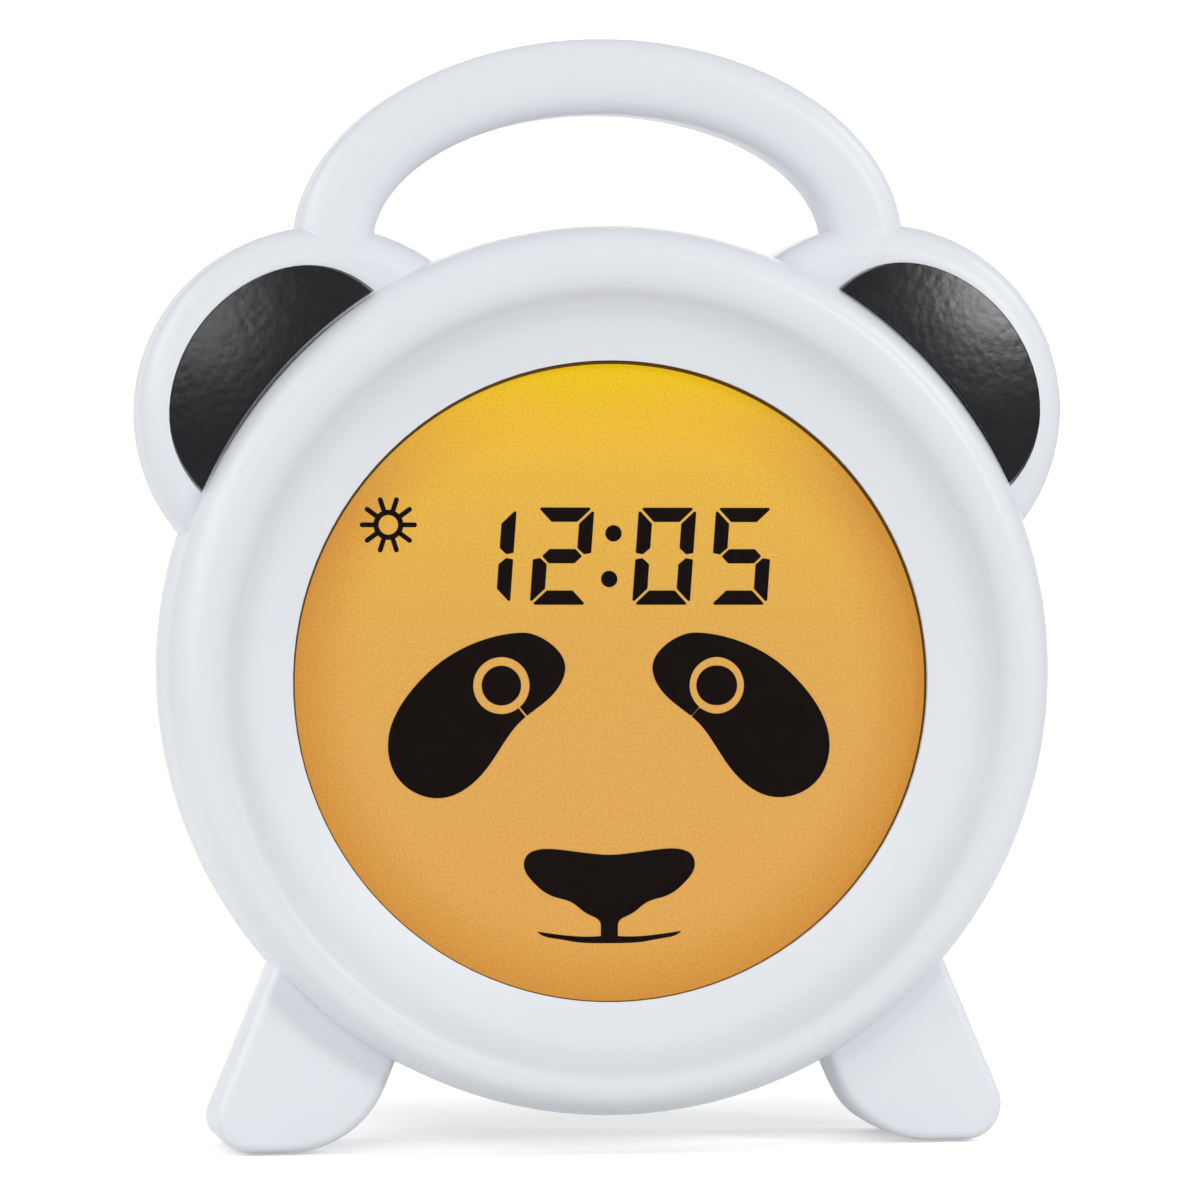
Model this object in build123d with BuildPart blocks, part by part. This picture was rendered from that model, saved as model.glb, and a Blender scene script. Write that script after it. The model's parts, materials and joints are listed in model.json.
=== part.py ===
"""Round children's alarm clock with a lit face, two ears, two splayed feet and a carrying handle.

Millimetres. The origin is on the surface the clock stands on, under its middle.
X runs to the right of someone facing the clock, Y to its back and Z up.
Outlines seen from the front are written in X and Z from the middle of the round case.
"""
import os
from math import cos, radians, sin, sqrt, tan

from build123d import *

os.makedirs("parts", exist_ok=True)

# ------------------------------------------------------------------ driving sizes
# round case
ring_r = 68.1               # widest radius of the round case
ground_gap = 5.4            # surface to the lowest point of the round case
body_depth = 52.0           # crest of the bead to the flat back
bead_rise = 16.5            # crest of the bead in front of the widest ring
seam_behind = 4.0           # parting plane behind the widest ring
straight_half = 7.5         # half length of the straight band round the case
wall = 2.2                  # moulded wall
fit_gap = 0.15              # gap of a part that drops into a recess
bead_width = 9.4            # outer edge of the bead to the crease
bead_round = 4.7            # width of the bead's outer rounding
crease_drop = 1.75          # crest of the bead to the crease
bead_slope = 46.0           # inner side of the bead against the face, degrees
bead_inner_round = 3.0
crease_round = 2.5
dish_drop = 1.65            # middle of the dish below the middle of the case
dish_width = 9.6            # crease to the edge of the window
dish_depth = 5.1            # crease to the edge of the window, along the depth
dish_hollow = 0.45          # how far the dish curves in between the crease and the window
back_round = 16.0           # radial width of the rounding at the back

# ears, handle and feet
ear_r = 28.5
ear_angle = 42.8            # middle of the ear, degrees round the case
ear_inset = 9.5             # middle of the ear inside the edge of the case
ear_proud = 8.0             # face of the ear in front of the widest ring
ear_back = 10.0             # back of the ear behind the widest ring
ear_round, ear_back_round = 5.0, 3.5
insert_sink = 1.0           # depth of the recess for the ear insert
insert_dome = 2.2           # crown of the ear insert over the ear's face
insert_edge = 0.25          # height of its rim over the ear's face
insert_from, insert_to = 122.1, 155.7   # the insert's two tips, degrees round the case
insert_off = 0.5            # inner edge of the insert outside the case
insert_rim_top, insert_rim_side = 5.85, 4.25    # the ear's rim round the insert
insert_crown = (101.5, 175.5)           # ends of that rim, degrees round the ear
insert_pin_r = 1.4
handle_drop = 3.1           # middle of the handle's two ellipses below the top of the case
handle_past = 4.0           # outer side of the handle outside the middle of the ear
handle_b = 31.9             # height of the outer ellipse over its middle
handle_width = 11.6
handle_proud, handle_back = 7.0, 9.0
handle_root = 15.0          # straight length that runs down into the ears
handle_round, handle_back_round = 4.2, 4.5
leg_lean = 22.5             # outward lean of the feet, degrees
leg_outer, leg_inner = 63.7, 39.0   # where the side lines would meet the ground
leg_reach = 44.0            # height of the side lines, up into the case
leg_heel_r, leg_toe_r = 5.5, 16.0   # rounding of the outer and the inner lower corner
leg_proud, leg_back = 6.0, 28.0
leg_outer_draft, leg_inner_draft = 6.5, 9.0     # how the sides close behind the parting plane, degrees
leg_round, leg_back_round = 1.6, 2.5
pad_proud = 0.4             # rubber pad below the moulded foot
pad_thick, pad_long, pad_wide, pad_corner = 1.6, 17.5, 7.5, 2.0

# display stack
lip = 1.05                  # thickness of the window's lip
window_seat = 2.1           # how far the window reaches under the lip
window_thick = 1.5
window_shelf = 2.2          # moulding beside the window that the tray bears on
lcd_margin = 1.9            # flats of the display glass outside the window
lcd_thick = 2.2
guide_thick = 3.0
reflector_thick = 0.4
stack_gap = 0.1
segment_thick = 0.12
tray_wall = 1.9
tray_floor = 1.6
tray_screw_out = 7.6        # flats of the display glass to the tray's screws

# back of the clock
cell_r, cell_long, cell_pitch = 7.1, 50.5, 15.2      # AA cells
cells = 3
cell_gap = 0.3              # cell to the floor of its bay
spring_long = 3.2           # battery spring, pressed by its cell
contact_thick = 0.4
bay_wall = 1.6
bay_z = -18.5               # middle of the battery bay
door_thick = 1.9
door_gap = 0.3
door_strip = 6.0            # strip of the door over the bay, for its screw
hinge_pin_r, hinge_barrel_r = 0.9, 1.5
hinge_gap = 0.08
hinge_half = 22.0           # half length of the hinge barrel
door_lip = 2.2              # door past the side of the bay
key_x, key_z, key_pitch = 29.0, 27.5, 10.5
key_w, key_h = 10.5, 6.5
key_gap = 0.25
key_travel = 0.8
panel_sink = 1.6            # depth of the recessed key panels
panel_side, panel_end = 2.25, 1.5       # panel past the keys
panel_corner = 2.5
speaker_z, speaker_half = 28.5, 15.5
beside_door = 9.9           # edge of the battery door to the slide switch and the power socket
switch_z, switch_travel = -6.0, 4.0
switch_slot_w, switch_slot_h = 3.8, 10.4
socket_z, socket_hole_r = -6.0, 3.5
board_w, board_h, board_z = 78.0, 56.0, -6.0
board_thick = 1.6

# screws: radius of the hole that one cuts its thread in, and of the boss round it
case_pilot_r, case_boss_r = 1.15, 3.2
small_pilot_r, small_boss_r = 0.95, 2.6
key_pilot_r, key_boss_r = 0.9, 2.0
speaker_boss_r = 2.2
small_hole_r = 1.15         # clearance hole of the small screws
past = 1.0                  # how far a cut starts outside its piece

# ------------------------------------------------------------------ derived places
ring_z = ground_gap + ring_r
ear_x = (ring_r - ear_inset) * cos(radians(ear_angle))
ear_z = (ring_r - ear_inset) * sin(radians(ear_angle))
handle_z = ring_r - handle_drop
handle_a = ear_x + handle_past
y_crest, y_back = -body_depth / 2, body_depth / 2
y_mid = y_crest + bead_rise
y_seam = y_mid + seam_behind
y_crease = y_crest + crease_drop
y_window = y_crease + dish_depth
y_glass = y_window + lip                 # front of the clear window
y_rim = y_glass + window_thick + 0.1     # back of the window's rim, where the tray starts
crease_r = ring_r - bead_width
window_r = crease_r - dish_width
glass_r = window_r + window_seat
dish_z = ring_z - dish_drop
y_lcd = y_rim + stack_gap
y_guide = y_lcd + lcd_thick + stack_gap
y_reflector = y_guide + guide_thick + stack_gap
y_tray_floor = y_reflector + reflector_thick + stack_gap
y_tray_back = y_tray_floor + tray_floor
lcd_half = window_r + lcd_margin
heel_run = tan(radians(45 + leg_lean / 2))      # length that a rounding of 1 mm takes off the foot's base
toe_run = tan(radians(45 - leg_lean / 2))
flat_r = ring_r - back_round
y_inside = y_back - wall
cavity_r = ring_r - wall


def facing(y, x=0.0, z=ring_z):
    """Plane square to the depth at y, looking to the front: local x is X and local y is Z."""
    return Plane(origin=(x, y, z), x_dir=(1, 0, 0), z_dir=(0, -1, 0))


def turning(x=0.0, z=ring_z):
    """Plane for a profile of (radius, y) that is turned about the line along Y at x, z."""
    return Plane(origin=(x, 0, z), x_dir=(1, 0, 0), z_dir=(0, 0, 1))


def about(x=0.0, z=ring_z):
    return Axis((x, 0, z), (0, 1, 0))


def disc(radius, y_front, y_rear, x=0.0, z=ring_z):
    """Round solid along Y between two depths."""
    with BuildPart() as solid:
        with BuildSketch(facing(y_rear, x, z)):
            Circle(radius)
        extrude(amount=y_rear - y_front)
    return solid.part


def discs(radius, y_front, y_rear, points, z=ring_z):
    """The same round solid at several places (X, Z) from the middle z."""
    with BuildPart() as solids:
        with BuildSketch(facing(y_rear, 0, z)):
            with Locations(*points):
                Circle(radius)
        extrude(amount=y_rear - y_front)
    return solids.part


def block(width, height, y_front, y_rear, x=0.0, z=0.0, corner=0.0):
    """Box along Y whose front is width by height, with its middle at x, z from the case's middle."""
    with BuildPart() as solid:
        with BuildSketch(facing(y_rear)):
            with Locations((x, z)):
                if corner:
                    RectangleRounded(width, height, corner)
                else:
                    Rectangle(width, height)
        extrude(amount=y_rear - y_front)
    return solid.part


# ------------------------------------------------------------------ outlines seen from the front
def leg_face(side, inset=0.0, behind=0.0):
    """Splayed foot; side is -1 for the left and 1 for the right.

    Its sides close with the distance behind the parting plane, and its lowest flat stays as wide.
    """
    lean = tan(radians(leg_lean))
    low = -(ring_z - pad_proud)
    top = low + leg_reach
    outer_shift = behind * tan(radians(leg_outer_draft))
    inner_shift = behind * tan(radians(leg_inner_draft))
    outer, inner = leg_outer - outer_shift, leg_inner + inner_shift
    points = [(outer - lean * (top - low), top), (outer, low), (inner, low), (inner - lean * (top - low), top)]
    with BuildSketch() as face:
        with BuildLine():
            Polyline(*[(side * x, z) for x, z in points], close=True)
        make_face()
        corners = face.vertices().sort_by(Axis.Y)[:2].sort_by(Axis.X)
        heel, toe = (corners[1], corners[0]) if side > 0 else (corners[0], corners[1])
        fillet(heel, leg_heel_r - outer_shift / heel_run)
        toe = face.vertices().sort_by_distance(toe.center())[0]
        fillet(toe, leg_toe_r - inner_shift / toe_run)
        if inset:
            offset(amount=-inset, mode=Mode.REPLACE)
    return face.sketch


def handle_face(inset=0.0):
    """Half an elliptical band that stands in the ears."""
    with BuildSketch() as face:
        with Locations((0, handle_z)):
            Ellipse(handle_a - inset, handle_b - inset)
            Ellipse(handle_a - handle_width + inset, handle_b - handle_width + inset,
                    mode=Mode.SUBTRACT)
        with Locations((0, handle_z - handle_b)):
            Rectangle(3 * handle_a, 2 * handle_b, mode=Mode.SUBTRACT)
        for side in (-1, 1):
            with Locations((side * (handle_a - handle_width / 2), handle_z - handle_root / 2)):
                Rectangle(handle_width - 2 * inset, handle_root)
    return face.sketch


def insert_face(side, gap=0.0):
    """Crescent on the ear: a rounded outer edge and an inner edge that follows the case."""
    edge_r = ring_r + insert_off - gap
    spread = 3 * gap                        # the recess also clears the two tips
    upper, middle, lower = [(edge_r * cos(radians(a)), edge_r * sin(radians(a))) for a in
                            (insert_from - spread, (insert_from + insert_to) / 2, insert_to + spread)]
    crown = []
    for share in (0, 0.44, 0.75, 1):
        angle = radians(insert_crown[0] + share * (insert_crown[1] - insert_crown[0]))
        reach = ear_r - insert_rim_top + share * (insert_rim_top - insert_rim_side) + gap
        crown.append((-ear_x + reach * cos(angle), ear_z + reach * sin(angle)))
    with BuildSketch() as face:
        with BuildLine():
            Spline(upper, *crown, lower)
            ThreePointArc(lower, middle, upper)
        make_face()
        if side > 0:
            mirror(about=Plane.YZ, mode=Mode.REPLACE)
    return face.sketch


# ------------------------------------------------------------------ front shell
def ring_front():
    """Front of the round case: bead, crease, dish and window opening, still solid behind."""
    with BuildPart() as ring:
        with BuildSketch(turning()):
            with BuildLine():
                y_round = y_mid - straight_half
                Line((0, y_seam), (ring_r, y_seam))
                Line((ring_r, y_seam), (ring_r, y_round))
                EllipticalCenterArc((ring_r - bead_round, y_round), bead_round,
                                    y_round - y_crest, start_angle=270, arc_size=90)
                Line((ring_r - bead_round, y_crest), (0, y_crest))
                Line((0, y_crest), (0, y_seam))
            make_face()
        revolve(axis=about())
        top_r = crease_r + crease_drop / tan(radians(bead_slope))
        over = 3 * past
        with BuildSketch(turning(z=dish_z)):
            with BuildLine():
                Polyline((0, y_crest - over), (top_r + over / tan(radians(bead_slope)), y_crest - over),
                         (crease_r, y_crease))
                SagittaArc((crease_r, y_crease), (window_r, y_window), -dish_hollow)
                Polyline((window_r, y_window), (window_r, y_glass), (glass_r, y_glass),
                         (glass_r, y_seam + past), (0, y_seam + past), (0, y_crest - over))
            make_face()
        revolve(axis=about(z=dish_z), mode=Mode.SUBTRACT)
        crest_edges = ring.edges().filter_by(GeomType.CIRCLE).filter_by(
            lambda e: abs(e.center().Y - y_crest) < 0.01 and e.radius < ring_r - bead_round - 0.5)
        fillet(crest_edges, bead_inner_round)
        crease_edges = ring.edges().filter_by(GeomType.CIRCLE).filter_by(
            lambda e: abs(e.center().Y - y_crease) < 0.01 and abs(e.radius - crease_r) < 0.01)
        fillet(crease_edges, crease_round)
    return ring.part


def ear_front(side):
    with BuildPart() as ear:
        y_face = y_mid - ear_proud
        with BuildSketch(turning(side * ear_x, ring_z + ear_z)):
            with BuildLine():
                Line((0, y_seam), (ear_r, y_seam))
                Line((ear_r, y_seam), (ear_r, y_face + ear_round))
                EllipticalCenterArc((ear_r - ear_round, y_face + ear_round), ear_round, ear_round,
                                    start_angle=270, arc_size=90)
                Line((ear_r - ear_round, y_face), (0, y_face))
                Line((0, y_face), (0, y_seam))
            make_face()
        revolve(axis=about(side * ear_x, ring_z + ear_z))
        add(disc(ring_r - wall / 2, y_crest, y_seam + past), mode=Mode.SUBTRACT)
    return ear.part


def leg_front(side):
    with BuildPart() as leg:
        with BuildSketch(facing(y_seam)):
            add(leg_face(side))
        extrude(amount=y_seam - (y_mid - leg_proud))
        fillet(leg.faces().sort_by(Axis.Y)[0].edges(), leg_round)
    return leg.part


def handle_front():
    with BuildPart() as handle:
        with BuildSketch(facing(y_seam)):
            add(handle_face())
        extrude(amount=y_seam - (y_mid - handle_proud))
        fillet(handle.faces().sort_by(Axis.Y)[0].edges(), handle_round)
    return handle.part


# places of the screws that hold the two shells together
case_boss_ring = ring_r - wall - case_boss_r - 2.2
case_points = [(case_boss_ring * cos(radians(a)), case_boss_ring * sin(radians(a)))
               for a in (45, 135, 225, 315)]
case_bite = 9.0             # depth of the case screws' thread
# places of the screws that hold the display tray in the front shell
tray_lug_x, tray_lug_z = lcd_half + tray_screw_out, 9.0
tray_points = [(sx * tray_lug_x, sz * tray_lug_z - dish_drop) for sx in (-1, 1) for sz in (-1, 1)]
tray_bite = 5.5             # depth of the tray screws' thread
insert_pins = [(-ear_x - 7.0, ear_z + 13.5), (-ear_x - 15.0, ear_z + 4.5)]

with BuildPart() as front_shell:
    add(ring_front())
    for side in (-1, 1):
        add(ear_front(side))
        add(leg_front(side))
    add(handle_front())
    # inside of the round case, the dish and the bead
    add(disc(cavity_r, y_rim, y_seam + past), mode=Mode.SUBTRACT)
    dish_lean = dish_depth / dish_width
    dish_wall = wall * sqrt(1 + dish_lean ** 2)
    pocket_r = glass_r + window_shelf
    with BuildSketch(turning(z=dish_z)):
        with BuildLine():
            outer = crease_r + 0.9
            Polyline((pocket_r, y_rim + past),
                     (pocket_r, y_crease + dish_wall + dish_lean * (crease_r - pocket_r)),
                     (outer, y_crease + dish_wall + dish_lean * (crease_r - outer)),
                     (outer, y_rim + past), close=True)
        make_face()
    revolve(axis=about(z=dish_z), mode=Mode.SUBTRACT)
    with BuildSketch(turning()):
        with BuildLine():
            y_round = y_mid - straight_half
            r_in = crease_r + dish_drop + 1.6
            r_bead = ring_r - bead_round + 0.3
            Polyline((r_in, y_rim + past), (cavity_r, y_rim + past), (cavity_r, y_round),
                     (r_bead, y_crest + 1.3 * wall), (r_in, y_crest + 1.8 * wall), close=True)
        make_face()
    revolve(axis=about(), mode=Mode.SUBTRACT)
    # inside of the ears, the feet and the handle
    y_ear_in = y_mid - ear_proud + insert_sink + 0.8 * wall
    for side in (-1, 1):
        add(disc(ear_r - wall, y_ear_in, y_seam + past, side * ear_x, ring_z + ear_z), mode=Mode.SUBTRACT)
        with BuildSketch(facing(y_seam + past)):
            add(leg_face(side, wall))
        extrude(amount=y_seam + past - (y_mid - leg_proud + wall), mode=Mode.SUBTRACT)
    with BuildSketch(facing(y_seam + past)):
        add(handle_face(wall))
    extrude(amount=y_seam + past - (y_mid - handle_proud + wall), mode=Mode.SUBTRACT)
    # recesses for the ear inserts, with holes for their pins
    y_sunk = y_mid - ear_proud + insert_sink
    for side in (-1, 1):
        with BuildSketch(facing(y_sunk)):
            add(insert_face(side, fit_gap))
        extrude(amount=y_sunk - y_crest, mode=Mode.SUBTRACT)
        pins = [(-side * x, z) for x, z in insert_pins]
        add(discs(insert_pin_r + 0.1, y_sunk - past, y_seam, pins), mode=Mode.SUBTRACT)
    # screw bosses
    add(discs(case_boss_r, y_crest + 2.6 * wall, y_seam, case_points))
    add(discs(case_pilot_r, y_seam - case_bite - 3, y_seam + past, case_points), mode=Mode.SUBTRACT)
    add(discs(small_boss_r, y_crest + 2.1 * wall, y_tray_floor, tray_points))
    add(discs(small_pilot_r, y_tray_floor - tray_bite - 1.5, y_tray_floor + past, tray_points),
        mode=Mode.SUBTRACT)
front_shell.part.label = "front_shell"
export_step(front_shell.part, "parts/front_shell.step")

# ------------------------------------------------------------------ rear shell
y_band = y_mid + straight_half
y_case_head = y_mid + 14.0                # seat of the case screws' heads
y_door_out = y_back - 0.1
y_door_in = y_door_out - door_thick
y_ledge = y_door_in - 0.15
bay_w = cell_long + spring_long + 2 * contact_thick + 0.3
bay_h = cells * cell_pitch + 0.6
bay_top = bay_z + bay_h / 2
cell_zs = [bay_z + (i - (cells - 1) / 2) * cell_pitch for i in range(cells)]
y_cell = y_ledge - cell_gap - cell_r
y_bay = y_cell - cell_r - cell_gap
hinge_z = bay_z - bay_h / 2 - 1.9
y_hinge = y_door_out - hinge_barrel_r
door_w = bay_w + 2 * door_lip
door_top = bay_top + door_strip
door_screw_z = bay_top + door_strip / 2
y_panel = y_back - panel_sink
y_panel_in = y_panel - 2.0
key_zs = [key_z + i * key_pitch for i in (-1, 0, 1)]
key_corner = key_h / 2 - 0.3
panel_w = key_w + 2 * panel_side
panel_h = 2 * key_pitch + key_h + 2 * panel_end
switch_x = -door_w / 2 - beside_door
socket_x = door_w / 2 + beside_door
y_board_keys = y_panel_in - 7.8            # back of the key boards
key_post_low = (key_x + key_w / 2 + 0.75, key_zs[0] - key_h / 2 - key_boss_r - 0.65)
key_post_high = (key_x, key_zs[-1] + key_h / 2 + key_boss_r + 1.25)
key_posts = [(side * x, z) for side in (-1, 1) for x, z in (key_post_low, key_post_high)]
speaker_screw = speaker_half - speaker_boss_r - 0.1
speaker_posts = [(sx * speaker_screw, speaker_z + sz * speaker_screw)
                 for sx in (-1, 1) for sz in (-1, 1)]
y_speaker = y_inside - 1.8                 # back of the speaker's flange
well_r, case_head_r, case_hole_r = 5.0, 3.4, 1.7
key_bite, speaker_bite = 5.0, 2.6
door_corner = 3.0
door_screw_long, door_boss_r = 4.2, 2.8
door_hole_r = 1.3           # wide enough for the door's screw to swing out with the door
hinge_pin_out = 3.0         # hinge pin past the barrel
tab_w = 3.0                 # contact plate's tab through the floor of the bay
grille_hole_r, grille_step = 0.85, 3.4
grille_rings = [(0.0, 1)] + [(i * grille_step, 6 * i) for i in (1, 2, 3)]
pad_x = (leg_outer - heel_run * leg_heel_r + leg_inner + toe_run * leg_toe_r) / 2
pad_y = (y_seam + 1.0 + y_mid + leg_back - 3.0) / 2


def dome(inset, y_front):
    """Back half of the round case: straight band, rounding and flat back."""
    edge = ring_r - inset
    with BuildPart() as solid:
        with BuildSketch(turning()):
            with BuildLine():
                Line((0, y_front), (edge, y_front))
                Line((edge, y_front), (edge, y_band))
                EllipticalCenterArc((flat_r, y_band), edge - flat_r, y_back - inset - y_band,
                                    start_angle=0, arc_size=90)
                Line((flat_r, y_back - inset), (0, y_back - inset))
                Line((0, y_back - inset), (0, y_front))
            make_face()
        revolve(axis=about())
    return solid.part


def ear_rear(side):
    with BuildPart() as ear:
        add(disc(ear_r, y_seam, y_mid + ear_back, side * ear_x, ring_z + ear_z))
        fillet(ear.faces().sort_by(Axis.Y)[-1].edges(), ear_back_round)
    return ear.part


def leg_loft(side, y_front, y_rear, inset=0.0):
    """Foot behind the parting plane, between two depths."""
    with BuildPart() as leg:
        for y in (y_front, y_rear):
            with BuildSketch(facing(y)):
                add(leg_face(side, inset, y - y_seam))
        loft()
    return leg.part


def leg_rear(side):
    with BuildPart() as leg:
        add(leg_loft(side, y_seam, y_mid + leg_back))
        fillet(leg.faces().sort_by(Axis.Y)[-1].edges(), leg_back_round)
    return leg.part


def handle_rear():
    with BuildPart() as handle:
        with BuildSketch(facing(y_mid + handle_back)):
            add(handle_face())
        extrude(amount=y_mid + handle_back - y_seam)
        fillet(handle.faces().sort_by(Axis.Y)[-1].edges(), handle_back_round)
    return handle.part


def pad(side, gap=0.0, z_low=0.0):
    """Rubber pad under a foot, or with a gap the recess that it sits in."""
    with BuildPart() as solid:
        with BuildSketch(Plane.XY.offset(z_low)):
            with Locations((side * pad_x, pad_y)):
                RectangleRounded(pad_wide + 2 * gap, pad_long + 2 * gap, pad_corner)
        extrude(amount=pad_thick)
    return solid.part


def back_inside():
    """Everything moulded on the inside of the back, before its holes."""
    with BuildPart() as inside:
        y_root = y_inside + 0.5
        add(block(bay_w + 2 * bay_wall, bay_h + 2 * bay_wall, y_bay - bay_wall, y_root, 0, bay_z))
        frame_low, frame_high = hinge_z - hinge_barrel_r - 1.8, door_top + 1.8
        add(block(door_w + 3.2, frame_high - frame_low, y_ledge - 2.2, y_root,
                  0, (frame_low + frame_high) / 2))
        add(discs(door_boss_r, y_ledge - door_screw_long - 1.5, y_root, [(0, door_screw_z)]))
        for side in (-1, 1):
            add(block(panel_w + 3, panel_h + 3, y_panel_in, y_root, side * key_x, key_z, 3))
        add(discs(key_boss_r, y_board_keys, y_root, key_posts))
        add(discs(speaker_boss_r, y_speaker, y_root, speaker_posts))
    return inside.part


with BuildPart() as rear_shell:
    add(dome(0, y_seam))
    for side in (-1, 1):
        add(ear_rear(side))
        add(leg_rear(side))
    add(handle_rear())
    add(dome(wall, y_seam - past), mode=Mode.SUBTRACT)
    for side in (-1, 1):
        add(disc(ear_r - wall, y_seam - past, y_mid + ear_back - wall, side * ear_x, ring_z + ear_z),
            mode=Mode.SUBTRACT)
        add(leg_loft(side, y_seam - past, y_mid + leg_back - wall, wall), mode=Mode.SUBTRACT)
    with BuildSketch(facing(y_mid + handle_back - wall)):
        add(handle_face(wall))
    extrude(amount=y_mid + handle_back - wall - y_seam + past, mode=Mode.SUBTRACT)
    # moulded inside of the back, kept within the outer surface
    add((back_inside() & dome(0.4, y_seam)))
    add(discs(well_r, y_case_head - 2.5, y_back, case_points) & dome(0.4, y_seam))
    add(discs(case_boss_r, y_seam, y_case_head, case_points))
    # screw wells
    add(discs(case_head_r, y_case_head, y_back + past, case_points), mode=Mode.SUBTRACT)
    add(discs(case_hole_r, y_seam - past, y_back, case_points), mode=Mode.SUBTRACT)
    # battery bay, seat of its door and hinge
    add(block(bay_w, bay_h, y_bay, y_back + past, 0, bay_z), mode=Mode.SUBTRACT)
    for side, z in ((1, cell_zs[0]), (-1, cell_zs[-1])):
        add(block(4 * contact_thick, tab_w + 4 * fit_gap, y_bay - bay_wall - past, y_bay + past,
                  side * (bay_w - contact_thick) / 2, z), mode=Mode.SUBTRACT)
    seat_low = hinge_z - 0.2
    add(block(door_w + 2 * door_gap, door_top + door_gap - seat_low, y_ledge, y_back + past,
              0, (door_top + door_gap + seat_low) / 2, door_corner + door_gap), mode=Mode.SUBTRACT)
    add(block(2 * hinge_half + 8, hinge_barrel_r + 1.2, y_ledge - 0.5, y_back + past,
              0, hinge_z + (hinge_barrel_r + 1.2) / 2), mode=Mode.SUBTRACT)
    with BuildSketch(Plane.YZ.offset(-hinge_half - 5)):
        with Locations((y_hinge, ring_z + hinge_z)):
            Circle(hinge_barrel_r + 0.6)
    extrude(amount=2 * hinge_half + 10, mode=Mode.SUBTRACT)
    for side in (-1, 1):
        with BuildSketch(Plane.YZ.offset(side * (hinge_half + 0.3))):
            with Locations((y_hinge, ring_z + hinge_z)):
                Circle(hinge_barrel_r)
            with Locations((y_hinge - hinge_barrel_r, ring_z + hinge_z)):
                Rectangle(2 * hinge_barrel_r, 2 * hinge_barrel_r)
            with Locations((y_hinge, ring_z + hinge_z)):
                Circle(hinge_pin_r + hinge_gap, mode=Mode.SUBTRACT)
        extrude(amount=side * (hinge_pin_out + 0.6))
    add(discs(door_hole_r, y_ledge - door_screw_long, y_back, [(0, door_screw_z)]), mode=Mode.SUBTRACT)
    # key panels and their openings
    for side in (-1, 1):
        add(block(panel_w, panel_h, y_panel, y_back + past, side * key_x, key_z, panel_corner),
            mode=Mode.SUBTRACT)
        for z in key_zs:
            add(block(key_w + 2 * key_gap, key_h + 2 * key_gap, y_panel_in - past, y_back,
                      side * key_x, z, key_corner + key_gap), mode=Mode.SUBTRACT)
    add(discs(key_pilot_r, y_board_keys - past, y_board_keys + key_bite + past, key_posts),
        mode=Mode.SUBTRACT)
    # speaker grille
    add(discs(key_pilot_r, y_speaker - past, y_speaker + speaker_bite + 0.4, speaker_posts),
        mode=Mode.SUBTRACT)
    with BuildSketch(facing(y_back + past)):
        with Locations((0, speaker_z)):
            for radius, count in grille_rings:
                with PolarLocations(radius, count):
                    Circle(grille_hole_r)
    extrude(amount=wall + 2 * past, mode=Mode.SUBTRACT)
    # slide switch and power socket
    add(block(switch_slot_w, switch_slot_h, y_inside - past, y_back + past, switch_x, switch_z, 1.2),
        mode=Mode.SUBTRACT)
    add(discs(socket_hole_r, y_inside - past, y_back + past, [(socket_x, socket_z)]), mode=Mode.SUBTRACT)
    # seats of the rubber pads, with the moulding thickened round them
    for side in (-1, 1):
        add(pad(side, 1.2, 1.4))
        add(pad(side, fit_gap, 0), mode=Mode.SUBTRACT)
rear_shell.part.label = "rear_shell"
export_step(rear_shell.part, "parts/rear_shell.step")

# ------------------------------------------------------------------ ear inserts
def ear_insert(side):
    """Crescent with a crowned face and two pins through the ear."""
    y_face = y_mid - ear_proud
    with BuildPart() as insert:
        with BuildSketch(facing(y_sunk)):
            add(insert_face(side))
        extrude(amount=insert_sink + insert_dome + 1)
        with BuildSketch(turning(side * ear_x, ring_z + ear_z)):
            with BuildLine():
                edge = (ear_r, y_face - insert_edge + 1.2)
                crown = ThreePointArc(edge, (ear_r / 2, y_face - 0.78 * insert_dome + 0.15),
                                      (0, y_face - insert_dome))
                Polyline((0, y_face - insert_dome), (0, y_seam), (ear_r, y_seam), edge)
            make_face()
        revolve(axis=about(side * ear_x, ring_z + ear_z), mode=Mode.INTERSECT)
        pins = [(-side * x, z) for x, z in insert_pins]
        add(discs(insert_pin_r, y_sunk, y_sunk + 0.8 * wall + 1.2, pins))
    return insert.part


ear_insert_left = ear_insert(-1)
ear_insert_left.label = "ear_insert_left"
export_step(ear_insert_left, "parts/ear_insert_left.step")
ear_insert_right = ear_insert(1)
ear_insert_right.label = "ear_insert_right"
export_step(ear_insert_right, "parts/ear_insert_right.step")

# ------------------------------------------------------------------ rubber pads
foot_pad_left = pad(-1)
foot_pad_left.label = "foot_pad_left"
export_step(foot_pad_left, "parts/foot_pad_left.step")
foot_pad_right = pad(1)
foot_pad_right.label = "foot_pad_right"
export_step(foot_pad_right, "parts/foot_pad_right.step")


# ------------------------------------------------------------------ display
def octagon(half, y_front, y_rear):
    """Eight-sided plate round the middle of the dish; half is the distance to its flats."""
    with BuildPart() as plate:
        with BuildSketch(facing(y_rear, 0, dish_z)):
            RegularPolygon(half, 8, major_radius=False, rotation=22.5)
        extrude(amount=y_rear - y_front)
    return plate.part


display_window = disc(glass_r - fit_gap, y_glass, y_glass + window_thick, z=dish_z)
display_window.label = "display_window"
export_step(display_window, "parts/display_window.step")

lcd_panel = octagon(lcd_half, y_lcd, y_lcd + lcd_thick)
lcd_panel.label = "lcd_panel"
export_step(lcd_panel, "parts/lcd_panel.step")

light_guide = octagon(lcd_half, y_guide, y_guide + guide_thick)
light_guide.label = "light_guide"
export_step(light_guide, "parts/light_guide.step")

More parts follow.
